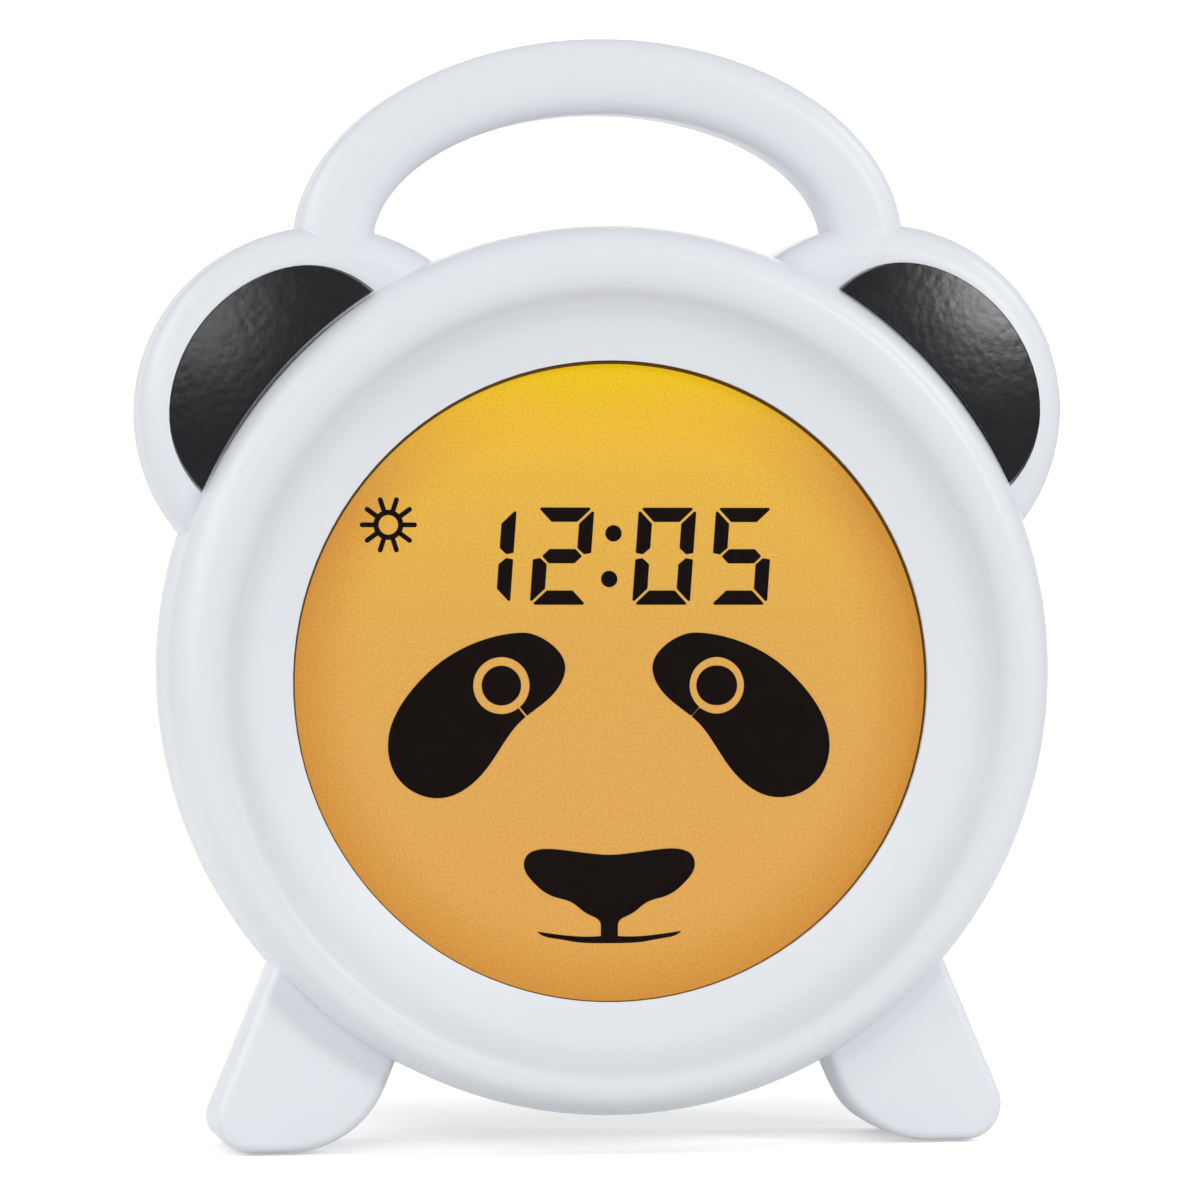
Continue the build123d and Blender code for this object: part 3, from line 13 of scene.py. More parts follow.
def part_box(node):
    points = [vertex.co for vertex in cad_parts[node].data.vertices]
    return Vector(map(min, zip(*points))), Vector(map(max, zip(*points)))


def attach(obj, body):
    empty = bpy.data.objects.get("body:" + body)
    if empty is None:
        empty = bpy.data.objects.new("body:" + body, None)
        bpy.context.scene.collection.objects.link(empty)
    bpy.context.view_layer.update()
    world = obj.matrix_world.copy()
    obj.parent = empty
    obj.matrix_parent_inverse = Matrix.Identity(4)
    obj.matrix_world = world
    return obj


MM = 0.001
DISH_Z = 71.85              # height of the middle of the dish, mm
CREASE_R = 58.70            # radius of the crease between the bead and the dish, mm

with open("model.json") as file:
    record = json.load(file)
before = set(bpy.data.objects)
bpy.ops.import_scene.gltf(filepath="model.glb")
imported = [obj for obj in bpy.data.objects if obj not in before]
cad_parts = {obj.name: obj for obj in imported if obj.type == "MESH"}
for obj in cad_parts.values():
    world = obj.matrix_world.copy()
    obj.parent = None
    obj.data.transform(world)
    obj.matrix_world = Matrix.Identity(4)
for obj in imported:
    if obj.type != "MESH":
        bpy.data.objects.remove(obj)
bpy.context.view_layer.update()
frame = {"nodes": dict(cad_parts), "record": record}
nodes = frame["nodes"]


# ---------------------------------------------------------------- shader helpers
class Signal:
    """A socket of a material's tree. Arithmetic on it adds Math nodes."""

    def __init__(self, finish, socket):
        self.finish, self.socket = finish, socket

    def math(self, operation, *others, clamp=False):
        made = self.finish.node("ShaderNodeMath", dict(operation=operation, use_clamp=clamp),
                                {i: value for i, value in enumerate((self, *others))})
        return made("Value")

    def __add__(self, other):
        return self.math("ADD", other)

    def __sub__(self, other):
        return self.math("SUBTRACT", other)

    def __rsub__(self, other):
        return self.math("MULTIPLY", -1.0).math("ADD", other)

    def __mul__(self, other):
        return self.math("MULTIPLY", other)

    def __truediv__(self, other):
        return self.math("DIVIDE", other)

    def __pow__(self, other):
        return self.math("POWER", other)

    def __abs__(self):
        return self.math("ABSOLUTE")

    def __mod__(self, other):
        return self.math("FLOORED_MODULO", other)

    __radd__, __rmul__ = __add__, __mul__

    def clamped(self):
        return self.math("ADD", 0.0, clamp=True)

    def ramp(self, start, end):
        """0 before start and 1 after end, soft between them."""
        made = self.finish.node("ShaderNodeMapRange", dict(interpolation_type="SMOOTHSTEP"),
                                {"Value": self, "From Min": start, "From Max": end})
        return made("Result")

    def line(self, at, half):
        """1 where the value is within half of at, soft at the edges."""
        return 1 - abs(self - at).ramp(0.5 * half, half)


class Finish:
    """A material with a Principled shader, written as expressions on the piece's own coordinates."""

    def __init__(self, name, base=(0.8, 0.8, 0.8), roughness=0.5, **constant):
        self.material = bpy.data.materials.new(name)
        self.material.use_nodes = True
        self.tree = self.material.node_tree
        self.shader = self.tree.nodes["Principled BSDF"]
        self.shader.inputs["Base Color"].default_value = (*base, 1)
        self.shader.inputs["Roughness"].default_value = roughness
        for socket, value in constant.items():
            self.shader.inputs[socket.replace("_", " ")].default_value = value
        self.material.diffuse_color = (*base, 1)

    def node(self, kind, settings=None, values=None):
        """Adds a node: settings first, then values or links of its inputs. Returns its outputs as Signals."""
        made = self.tree.nodes.new(kind)
        for name, value in (settings or {}).items():
            setattr(made, name, value)
        for name, value in (values or {}).items():
            if isinstance(value, Signal):
                self.tree.links.new(value.socket, made.inputs[name])
            else:
                made.inputs[name].default_value = value
        return lambda output: Signal(self, made.outputs[output])

    def place(self):
        """Object coordinates in millimetres, as one vector Signal."""
        coords = self.node("ShaderNodeTexCoord")("Object")
        return self.node("ShaderNodeVectorMath", dict(operation="SCALE"),
                         {"Vector": coords, "Scale": 1 / MM})("Vector")

    def axes(self):
        made = self.node("ShaderNodeSeparateXYZ", values={"Vector": self.place()})
        return made("X"), made("Y"), made("Z")

    def noise(self, size, detail=2.0, roughness=0.5, place=None):
        """Noise around 0.5 whose features are about size millimetres."""
        made = self.node("ShaderNodeTexNoise", values={"Vector": place or self.place(), "Scale": 1 / size,
                                                       "Detail": detail, "Roughness": roughness})
        return made("Fac")

    def cells(self, size, place=None, feature="F1"):
        """Distance to the nearest of scattered points that are about size millimetres apart."""
        made = self.node("ShaderNodeTexVoronoi", dict(feature=feature),
                         {"Vector": place or self.place(), "Scale": 1 / size})
        return made("Distance")

    def mix(self, mask, first, second):
        """Colour first where mask is 0, second where it is 1."""
        made = self.node("ShaderNodeMix", dict(data_type="RGBA"))
        mixer = made("Result").socket.node
        for socket, value in ((mixer.inputs[0], mask), (mixer.inputs[6], first), (mixer.inputs[7], second)):
            if isinstance(value, Signal):
                self.tree.links.new(value.socket, socket)
            else:
                socket.default_value = value if isinstance(value, float) else (*value, 1)
        return Signal(self, mixer.outputs[2])

    def drive(self, socket, value):
        """Feeds an input of the shader."""
        self.tree.links.new(value.socket, self.shader.inputs[socket])

    def bump(self, height, depth, under=None):
        """Surface relief; depth is the height's real size in millimetres."""
        values = {"Height": height, "Distance": depth * MM, "Strength": 1.0}
        if under is not None:
            values["Normal"] = under
        return self.node("ShaderNodeBump", values=values)("Normal")


def tinted(colour, factor):
    """The colour made lighter or darker."""
    return tuple(min(1.0, c * factor) for c in colour)


def moulded(name, colour, roughness, grain=0.28, depth=0.012, **constant):
    """Moulded plastic: a fine spark-eroded grain and slow changes of gloss."""
    finish = Finish(name, colour, roughness, **constant)
    slow = finish.noise(18.0)
    fine = finish.noise(grain, detail=3.0)
    finish.drive("Base Color", finish.mix(slow, tinted(colour, 0.97), tinted(colour, 1.03)))
    finish.drive("Roughness", roughness - 0.06 + 0.08 * slow + 0.06 * fine)
    finish.drive("Normal", finish.bump(fine, depth))
    return finish


# ---------------------------------------------------------------- finishes
def case_plastic():
    """White case: fine grain, the hairline of the parting plane and a little painted shade in the crease."""
    white, joint = (0.772, 0.799, 0.838), (0.42, 0.43, 0.44)
    seam_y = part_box("front_shell")[1].y / MM
    crease_half = 5.0                              # how far the painted shade reaches to each side of the crease
    front_of_face, back_of_face = -16.0, -12.0     # the painted shade ends between these, along Y
    finish = Finish("case_plastic", white, 0.36, Specular_IOR_Level=0.42)
    x, y, z = finish.axes()
    slow = finish.noise(25.0)
    fine = finish.noise(0.30, detail=3.0)
    grain = finish.noise(1.1)
    height = z - DISH_Z
    from_crease = abs((x * x + height * height) ** 0.5 - CREASE_R)
    # painted shade: the base colour is made darker along the crease, where shade falls
    painted_crease_shade = (1 - from_crease.ramp(0.0, crease_half)) * (1 - y.ramp(front_of_face, back_of_face))
    seam = y.line(seam_y, 0.11)
    cloud = finish.mix(slow, tinted(white, 0.985), tinted(white, 1.012))
    shaded = finish.mix(painted_crease_shade, cloud, tinted(white, 0.90))
    finish.drive("Base Color", finish.mix(seam, shaded, joint))
    finish.drive("Roughness", 0.34 + 0.05 * slow + 0.05 * fine)
    relief = finish.bump(0.7 * fine + 0.3 * grain, 0.010)
    finish.drive("Normal", finish.bump(1 - seam, 0.08, under=relief))
    return finish


def ear_plastic():
    """Near-black ear inserts with a fine leather grain."""
    black = (0.0055, 0.0046, 0.0068)
    finish = Finish("ear_plastic", black, 0.25, Specular_IOR_Level=0.35)
    place = finish.place()
    pebble = finish.cells(1.3, place, "SMOOTH_F1")
    wander = finish.noise(2.2, detail=3.0, place=place)
    dust = finish.noise(0.25, place=place)
    finish.drive("Base Color", finish.mix(wander, tinted(black, 0.85), tinted(black, 1.2)))
    finish.drive("Roughness", 0.20 + 0.08 * wander)
    finish.drive("Normal", finish.bump(pebble * 0.5 + wander * 0.8 + dust * 0.08, 0.05))
    return finish


def display_film():
    """Backlit display: yellow at the top, orange towards the bottom and the rim, with a fine speckle."""
    low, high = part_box("lcd_panel")
    middle_z, half = (low.z + high.z) / 2 / MM, (high.z - low.z) / 2 / MM
    finish = Finish("display_film", (0.10, 0.07, 0.03), 0.55, Specular_IOR_Level=0.2, Emission_Strength=0.92)
    x, _, z = finish.axes()
    height = (z - middle_z) / half
    across = x / half
    out = ((across * across + height * height) ** 0.5).clamped()
    ramp = finish.node("ShaderNodeValToRGB", values={"Fac": height * 0.5 + 0.5})
    stops = ramp("Color").socket.node.color_ramp
    colours = {0.06: (0.640, 0.325, 0.068), 0.28: (0.640, 0.333, 0.076), 0.54: (0.642, 0.342, 0.072),
               0.80: (0.690, 0.400, 0.048), 0.86: (0.735, 0.427, 0.034), 0.97: (0.745, 0.475, 0.002)}
    while len(stops.elements) < len(colours):
        stops.elements.new(0.5)
    for stop, (at, colour) in zip(stops.elements, colours.items()):
        stop.position, stop.color = at, (*colour, 1)
    near_rim = out.ramp(0.74, 0.97) * (1 - height.ramp(0.45, 0.95))
    sheet = finish.mix(near_rim, ramp("Color"), (0.572, 0.256, 0.041))
    speckle = finish.noise(0.40, detail=4.0, roughness=0.75)
    grain = (speckle - 0.5) * 0.75 + 1.0
    glow = finish.node("ShaderNodeVectorMath", dict(operation="SCALE"),
                       {"Vector": sheet, "Scale": grain})("Vector")
    unlit = 0.25                # the film's own colour, as a share of its glow
    finish.drive("Emission Color", glow)
    finish.drive("Base Color", finish.mix(unlit, (0.0, 0.0, 0.0), glow))
    return finish


def window_plastic():
    """Clear window: mostly lets light through, with a faint satin reflection."""
    finish = Finish("window_plastic", (0.9, 0.9, 0.9), 0.30)
    tree, shader = finish.tree, finish.shader
    tree.nodes.remove(shader)
    clear = finish.node("ShaderNodeBsdfTransparent")("BSDF")
    haze = finish.noise(0.5)
    satin = finish.node("ShaderNodeBsdfGlossy", values={"Roughness": haze * 0.04 + 0.24})("BSDF")
    facing = finish.node("ShaderNodeFresnel", values={"IOR": 1.06})("Fac")
    both = finish.node("ShaderNodeMixShader", values={0: facing, 1: clear, 2: satin})("Shader")
    tree.links.new(both.socket, tree.nodes["Material Output"].inputs["Surface"])
    return finish


def board_laminate():
    """Circuit board: green mask with the copper tracks showing through it."""
    green, over_copper = (0.018, 0.115, 0.045), (0.045, 0.21, 0.075)
    row_pitch, column_pitch = 1.6, 2.0
    finish = Finish("board_laminate", green, 0.32, Coat_Weight=0.25, Coat_Roughness=0.2)
    x, _, z = finish.axes()
    bend = finish.noise(6.0)
    step = bend.ramp(0.45, 0.55) * 1.2
    rows = ((z + step) % row_pitch).line(row_pitch / 2, 0.42)
    columns = ((x + step) % column_pitch).line(column_pitch / 2, 0.45)
    area = finish.noise(9.0).ramp(0.47, 0.53)
    track = (rows * area + columns * (1 - area)).clamped()
    finish.drive("Base Color", finish.mix(track, green, over_copper))
    finish.drive("Roughness", 0.34 - 0.08 * track)
    finish.drive("Normal", finish.bump(track, 0.03))
    return finish


def brushed(name, colour, roughness):
    """Plated steel with fine drawn lines and a little mottling."""
    finish = Finish(name, colour, roughness, Metallic=1.0)
    place = finish.place()
    stretched = finish.node("ShaderNodeVectorMath", dict(operation="MULTIPLY"),
                            {"Vector": place, 1: (0.35, 6.0, 6.0)})("Vector")
    lines = finish.noise(1.0, detail=3.0, place=stretched)
    patina = finish.noise(2.5, place=place)
    finish.drive("Base Color", finish.mix(patina, tinted(colour, 0.86), tinted(colour, 1.08)))
    finish.drive("Roughness", roughness - 0.08 + 0.18 * lines)
    finish.drive("Normal", finish.bump(lines, 0.004))
    return finish


def cell_jacket():
    """Battery cells: steel ends, a dark jacket with a copper-coloured band at the positive end."""
    dark, copper, steel = (0.030, 0.032, 0.036), (0.56, 0.27, 0.10), (0.60, 0.60, 0.62)
    low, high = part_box("batteries")
    pitch = (high.z - low.z - (high.y - low.y)) / 2 / MM
    end = high.x / MM
    band_start, cap_start, base_end, edge = end - 15.2, end - 1.9, 1.8 - end, 0.2
    finish = Finish("cell_jacket", dark, 0.34, Coat_Weight=0.5, Coat_Roughness=0.15)
    x, _, z = finish.axes()
    row = ((z - low.z / MM) / pitch).math("FLOOR")
    turned = 1 - 2 * (row % 2.0)                   # the middle cell lies the other way round
    along = x * turned
    band = along.ramp(band_start, band_start + edge)
    metal = (along.ramp(cap_start, cap_start + edge) + 1 - along.ramp(base_end - edge, base_end)).clamped()
    scuff = finish.noise(3.0, detail=4.0)
    jacket = finish.mix(band, dark, copper)
    skin = finish.mix(metal, jacket, steel)
    finish.drive("Base Color", finish.mix(scuff * 0.25, skin, tinted(steel, 0.4)))
    finish.drive("Metallic", (metal + 0.6 * band).clamped())
    finish.drive("Roughness", 0.26 + 0.2 * scuff)
    finish.drive("Normal", finish.bump(scuff, 0.01))
    return finish


def paper_cone():
    """Pressed paper with short fibres."""
    finish = Finish("paper_cone", (0.030, 0.027, 0.025), 0.85, Sheen_Weight=0.3)
    fibre = finish.noise(0.35, detail=5.0, roughness=0.7)
    finish.drive("Base Color", finish.mix(fibre, (0.018, 0.016, 0.015), (0.052, 0.047, 0.043)))
    finish.drive("Normal", finish.bump(fibre, 0.03))
    return finish


def guide_acrylic():
    """Milky light guide with a pattern of printed dots."""
    finish = Finish("guide_acrylic", (0.86, 0.87, 0.88), 0.28, Subsurface_Weight=0.2)
    place = finish.place()
    dots = 1 - finish.cells(1.4, place).ramp(0.22, 0.30)
    finish.drive("Base Color", finish.mix(dots, (0.80, 0.81, 0.82), (0.93, 0.93, 0.92)))
    finish.drive("Roughness", 0.22 + 0.3 * dots)
    return finish


def ribbon_film():
    """Amber film with copper conductors along it."""
    amber, copper = (0.42, 0.17, 0.025), (0.63, 0.31, 0.09)
    finish = Finish("ribbon_film", amber, 0.3, Coat_Weight=0.4)
    x, _, _ = finish.axes()
    wire = (x % 1.0).line(0.5, 0.34)
    finish.drive("Base Color", finish.mix(wire, amber, copper))
    finish.drive("Normal", finish.bump(wire, 0.03))
    return finish


finishes = {
    "case_white": case_plastic(),
    "ear_black": ear_plastic(),
    "pad_rubber": moulded("pad_rubber", (0.16, 0.16, 0.165), 0.75, grain=0.5, depth=0.05),
    "clear_window": window_plastic(),
    "display_amber": display_film(),
    "segment_ink": moulded("segment_ink", (0.0060, 0.0032, 0.0026), 0.55, grain=0.2, depth=0.004,
                           Specular_IOR_Level=0.05),
    "guide_clear": guide_acrylic(),
    "reflector_white": moulded("reflector_white", (0.86, 0.86, 0.85), 0.6, depth=0.006),
    "tray_white": moulded("tray_white", (0.68, 0.68, 0.67), 0.5),
    "lamp_amber": moulded("lamp_amber", (0.85, 0.62, 0.16), 0.25, depth=0.004),
    "board_green": board_laminate(),
    "chip_black": moulded("chip_black", (0.012, 0.012, 0.014), 0.5, grain=0.12, depth=0.01),
    "capacitor_can": brushed("capacitor_can", (0.55, 0.57, 0.60), 0.32),
    "plug_ivory": moulded("plug_ivory", (0.73, 0.68, 0.54), 0.45),
    "ribbon_amber": ribbon_film(),
    "key_grey": moulded("key_grey", (0.030, 0.030, 0.034), 0.52, grain=0.22, depth=0.018),
    "plunger_white": moulded("plunger_white", (0.72, 0.72, 0.70), 0.4),
    "switch_black": moulded("switch_black", (0.016, 0.016, 0.018), 0.42),
    "speaker_black": moulded("speaker_black", (0.018, 0.018, 0.020), 0.38, grain=0.6, depth=0.02),
    "cone_paper": paper_cone(),
    "magnet_grey": moulded("magnet_grey", (0.045, 0.045, 0.048), 0.6, grain=0.5, depth=0.03),
    "gasket_black": moulded("gasket_black", (0.018, 0.018, 0.019), 0.9, grain=0.35, depth=0.08),
    "cell_jacket": cell_jacket(),
    "spring_steel": brushed("spring_steel", (0.66, 0.66, 0.67), 0.26),
    "screw_steel": brushed("screw_steel", (0.46, 0.46, 0.48), 0.34),
    "lead_red": moulded("lead_red", (0.33, 0.012, 0.009), 0.4, depth=0.006),
    "lead_black": moulded("lead_black", (0.014, 0.014, 0.014), 0.4, depth=0.006),
    "lead_grey": moulded("lead_grey", (0.20, 0.21, 0.23), 0.4, depth=0.006),
}


# ---------------------------------------------------------------- CAD pieces
def soften(piece, crease_degrees=38.0):
    """Joins the loose triangles in the shown mesh and shades curved faces smooth."""
    weld = piece.modifiers.new("weld", "WELD")
    weld.merge_threshold = 0.002 * MM
    smooth = piece.modifiers.new("smooth", "NODES")
    smooth.node_group = smooth_by_angle()
    smooth[smooth.node_group.interface.items_tree["Angle"].identifier] = math.radians(crease_degrees)


def smooth_by_angle():
    """Geometry tree that keeps edges sharp where their faces turn by more than an angle."""
    if "smooth_by_angle" in bpy.data.node_groups:
        return bpy.data.node_groups["smooth_by_angle"]
    tree = bpy.data.node_groups.new("smooth_by_angle", "GeometryNodeTree")
    tree.interface.new_socket("Geometry", in_out="INPUT", socket_type="NodeSocketGeometry")
    tree.interface.new_socket("Angle", in_out="INPUT", socket_type="NodeSocketFloat")
    tree.interface.new_socket("Geometry", in_out="OUTPUT", socket_type="NodeSocketGeometry")
    entry, leave = tree.nodes.new("NodeGroupInput"), tree.nodes.new("NodeGroupOutput")
    turn = tree.nodes.new("GeometryNodeInputMeshEdgeAngle")
    blunt = tree.nodes.new("FunctionNodeCompare")
    blunt.operation = "LESS_EQUAL"
    edges, faces = tree.nodes.new("GeometryNodeSetShadeSmooth"), tree.nodes.new("GeometryNodeSetShadeSmooth")
    edges.domain = "EDGE"
    link = tree.links.new
    link(turn.outputs["Unsigned Angle"], blunt.inputs[0])
    link(entry.outputs["Angle"], blunt.inputs[1])
    link(entry.outputs["Geometry"], faces.inputs["Geometry"])
    link(faces.outputs["Geometry"], edges.inputs["Geometry"])
    link(blunt.outputs["Result"], edges.inputs["Shade Smooth"])
    link(edges.outputs["Geometry"], leave.inputs["Geometry"])
    return tree


slot_of = {part["node"]: part["material_slot"] for part in frame["record"]["subparts"]}
for name, piece in nodes.items():
    piece.data.materials.clear()
    piece.data.materials.append(finishes[slot_of[name]].material)
    soften(piece)


# ---------------------------------------------------------------- printed marks
PRINT = 0.06                # thickness of a printed mark, mm
PROUD = 0.3 * PRINT         # middle of a mark above the face that it is on, mm


def arc(radius, start, end, x=0.0, y=0.0, steps=24):
    """Points on a circle between two angles in degrees."""
    turns = [math.radians(start + (end - start) * i / steps) for i in range(steps + 1)]
    return [(x + radius * math.cos(turn), y + radius * math.sin(turn)) for turn in turns]


def circle(radius, x=0.0, y=0.0, steps=48):
    """Points on a whole circle, each once."""
    return arc(radius, 0, 360, x, y, steps)[:-1]


def plain_piece(name, mesh, slot, body, material=None):
    """Shows a finished mesh as a piece of its own on a body."""
    mesh.name = name
    mesh.materials.clear()
    mesh.materials.append(material or finishes[slot].material)
    piece = bpy.data.objects.new(name, mesh)
    bpy.context.scene.collection.objects.link(piece)
    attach(piece, body)
    return piece


def made_mesh(drawn):
    """Evaluated mesh of an object, which is then removed."""
    bpy.context.scene.collection.objects.link(drawn)
    bpy.context.view_layer.update()
    mesh = bpy.data.meshes.new_from_object(drawn.evaluated_get(bpy.context.evaluated_depsgraph_get()))
    bpy.data.objects.remove(drawn)
    return mesh


def closed_plate(curve, placed):
    """Closed mesh of a flat curve, put in its place."""
    mesh = made_mesh(bpy.data.objects.new("drawn", curve))
    bpy.data.curves.remove(curve)
    shape = bmesh.new()
    shape.from_mesh(mesh)
    bmesh.ops.remove_doubles(shape, verts=shape.verts, dist=1e-4)
    shape.transform(placed)
    bmesh.ops.recalc_face_normals(shape, faces=shape.faces)
    shape.to_mesh(mesh)
    shape.free()
    return mesh


def on_back(x, y, z):
    """Puts a drawing in millimetres on a face that looks to the back, upright for someone behind."""
    turned = Matrix(((-1, 0, 0), (0, 0, 1), (0, 1, 0))).to_4x4()
    return Matrix.Translation(Vector((x, y, z)) * MM) @ turned @ Matrix.Scale(MM, 4)


def on_front(x, y, z):
    """Puts a drawing in millimetres on a face that looks to the front."""
    turned = Matrix(((1, 0, 0), (0, 0, -1), (0, 1, 0))).to_4x4()
    return Matrix.Translation(Vector((x, y, z)) * MM) @ turned @ Matrix.Scale(MM, 4)


def drawing(loops, placed, thick=PRINT):
    """Closed plate between the loops: an outline, a hole in it, an island in that, and so on."""
    curve = bpy.data.curves.new("drawing", "CURVE")
    curve.dimensions, curve.fill_mode, curve.extrude = "2D", "BOTH", thick / 2
    for loop in loops:
        spline = curve.splines.new("POLY")
        spline.points.add(len(loop) - 1)
        for point, (x, y) in zip(spline.points, loop):
            point.co = (x, y, 0, 1)
        spline.use_cyclic_u = True
    return closed_plate(curve, placed)


def lettering(words, height, placed):
    """Closed plates in the shape of plain capitals of this height."""
    capital = 0.70              # height of a capital, as a share of the letter size
    curve = bpy.data.curves.new("lettering", "FONT")
    curve.body, curve.size, curve.extrude = words, height / capital, PRINT / 2
    curve.align_x, curve.align_y = "CENTER", "CENTER"
    return closed_plate(curve, placed)


def mark_keys():
    """A plain sign on each key: bell, clock, note, moon and two arrows."""
    bell = arc(1.05, 180, 0, y=0.35) + [(1.15, -0.55), (1.55, -0.95), (-1.55, -0.95), (-1.15, -0.55)]
    hands = [(-0.17, 0.95), (0.17, 0.95), (0.17, 0.17), (0.75, 0.17), (0.75, -0.17), (-0.17, -0.17)]
    note = arc(0.62, 0, -305, 0.0, -1.0) + [(0.32, -0.45), (0.32, 1.55), (0.65, 1.35), (1.4, 0.85),
                                             (1.3, 0.25), (0.62, 0.75)]
    signs = {
        "alarm": [bell, arc(0.42, 200, 340, y=-1.08, steps=12)],
        "set": [circle(1.7), circle(1.35), hands],
        "sound": [note],
        "light": [arc(1.65, 50, 310) + arc(1.269, -85, -275, x=0.95)[1:-1]],
        "up": [[(-1.5, -0.8), (1.5, -0.8), (0, 1.2)]],
        "down": [[(-1.5, 0.8), (0, -1.2), (1.5, 0.8)]],
    }
    for key, loops in signs.items():
        low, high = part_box("key_" + key)
        x, z = (low.x + high.x) / 2 / MM, (low.z + high.z) / 2 / MM
        sign = drawing(loops, on_back(x, high.y / MM + PROUD, z))
        plain_piece(f"sign_{key}", sign, "plunger_white", "key_" + key)


def mark_switch():
    """ON above the slide switch and OFF below it."""
    low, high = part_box("switch_body")
    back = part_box("rear_shell")[1].y / MM
    x, z = (low.x + high.x) / 2 / MM, (low.z + high.z) / 2 / MM
    apart = 7.9                 # middle of the switch to the middle of each word
    for words, rise in (("ON", apart), ("OFF", -apart)):
        mesh = lettering(words, 2.0, on_back(x, back + PROUD, z + rise))
        plain_piece("switch_" + words.lower(), mesh, "key_grey", "case")


def mark_cells():
    """Plus and minus at the ends of each battery cell."""
    low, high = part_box("batteries")
    pitch = (high.z - low.z - (high.y - low.y)) / 2 / MM
    lowest = (low.z + (high.y - low.y) / 2) / MM
    end, arm, half = high.x / MM, 1.3, 0.28        # a cell's end, half a bar's length and width
    plus = [(-half, arm), (half, arm), (half, half), (arm, half), (arm, -half), (half, -half),
            (half, -arm), (-half, -arm), (-half, -half), (-arm, -half), (-arm, half), (-half, half)]
    minus = [(-half, arm), (half, arm), (half, -arm), (-half, -arm)]
    for row in range(3):
        side = 1 - 2 * (row % 2)
        z = lowest + row * pitch
        for kind, outline, place, slot in (("plus", plus, side * (end - 9), "switch_black"),
                                           ("minus", minus, -side * (end - 6), "plunger_white")):
            mesh = drawing([outline], on_back(place, high.y / MM - PRINT, z), thick=4 * PRINT)
            plain_piece(f"cell_{kind}_{row}", mesh, slot, "case")


def paint_window_shadow():
    """Painted shadow of the lip round the edge of the window: a dark thin sheet, a little wider at the top.
    """
    low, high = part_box("display_window")
    middle_z = (low.z + high.z) / 2 / MM
    seat, play = 2.1, 0.15      # how far the window reaches under the lip, and its play there
    clear, line, drop = 0.01, 0.36, 0.20           # gap to the lip, the painted shadow line's width, its inner edge's drop
    outer = (high.x - low.x) / 2 / MM + play - seat - clear
    mesh = drawing([circle(outer, steps=180), circle(outer - line, 0, -drop, steps=180)],
                   on_front(0, low.y / MM - PRINT / 2, middle_z))
    # painted shadow: a dark brown sheet where the lip's shade falls on the display
    shadow_brown = moulded("painted_rim_shadow", (0.120, 0.055, 0.010), 0.6, grain=0.2, depth=0.004, Specular_IOR_Level=0.1)
    plain_piece("window_painted_shadow", mesh, "segment_ink", "case", shadow_brown.material)


# ---------------------------------------------------------------- pieces that repeat
class Tree:
    """Geometry tree with named inputs; its result is made plain and takes a material."""

    def __init__(self, name, inputs):
        self.tree = bpy.data.node_groups.new(name, "GeometryNodeTree")
        face = self.tree.interface
        face.new_socket("Geometry", in_out="INPUT", socket_type="NodeSocketGeometry")
        for title, (kind, value) in inputs.items():
            face.new_socket(title, in_out="INPUT", socket_type="NodeSocket" + kind).default_value = value
        face.new_socket("Material", in_out="INPUT", socket_type="NodeSocketMaterial")
        face.new_socket("Geometry", in_out="OUTPUT", socket_type="NodeSocketGeometry")
        self.entry = self.tree.nodes.new("NodeGroupInput")

    def node(self, kind, settings=None, values=None):
        """Adds a node: settings first, then values or links of its inputs. Returns its output sockets."""
        made = self.tree.nodes.new(kind)
        for name, value in (settings or {}).items():
            setattr(made, name, value)
        for name, value in (values or {}).items():
            if isinstance(value, bpy.types.NodeSocket):
                self.tree.links.new(value, made.inputs[name])
            else:
                made.inputs[name].default_value = value
        return made.outputs

    def math(self, operation, *numbers):
        return self.node("ShaderNodeMath", dict(operation=operation), dict(enumerate(numbers)))[0]

    def vector(self, x=0.0, y=0.0, z=0.0):
        return self.node("ShaderNodeCombineXYZ", values=dict(X=x, Y=y, Z=z))[0]

    def joined(self, *parts):
        join = self.tree.nodes.new("GeometryNodeJoinGeometry")
        for part in parts:
            self.tree.links.new(part, join.inputs[0])
        return join.outputs[0]

    def finish(self, geometry):
        """Ends the tree with this geometry, made real and given the material."""
        real = self.node("GeometryNodeRealizeInstances", values={0: geometry})[0]
        done = self.node("GeometryNodeSetMaterial",
                         values={0: real, "Material": self.entry.outputs["Material"]})[0]
        leave = self.tree.nodes.new("NodeGroupOutput")
        self.tree.links.new(done, leave.inputs[0])

    def mesh(self, material, **values):
        """Plain mesh that the tree makes with these inputs."""
        drawn = bpy.data.objects.new("drawn", bpy.data.meshes.new("drawn"))
        modifier = drawn.modifiers.new("nodes", "NODES")
        modifier.node_group = self.tree
        for title, value in (*values.items(), ("Material", material)):
            modifier[self.tree.interface.items_tree[title].identifier] = value
        return made_mesh(drawn)


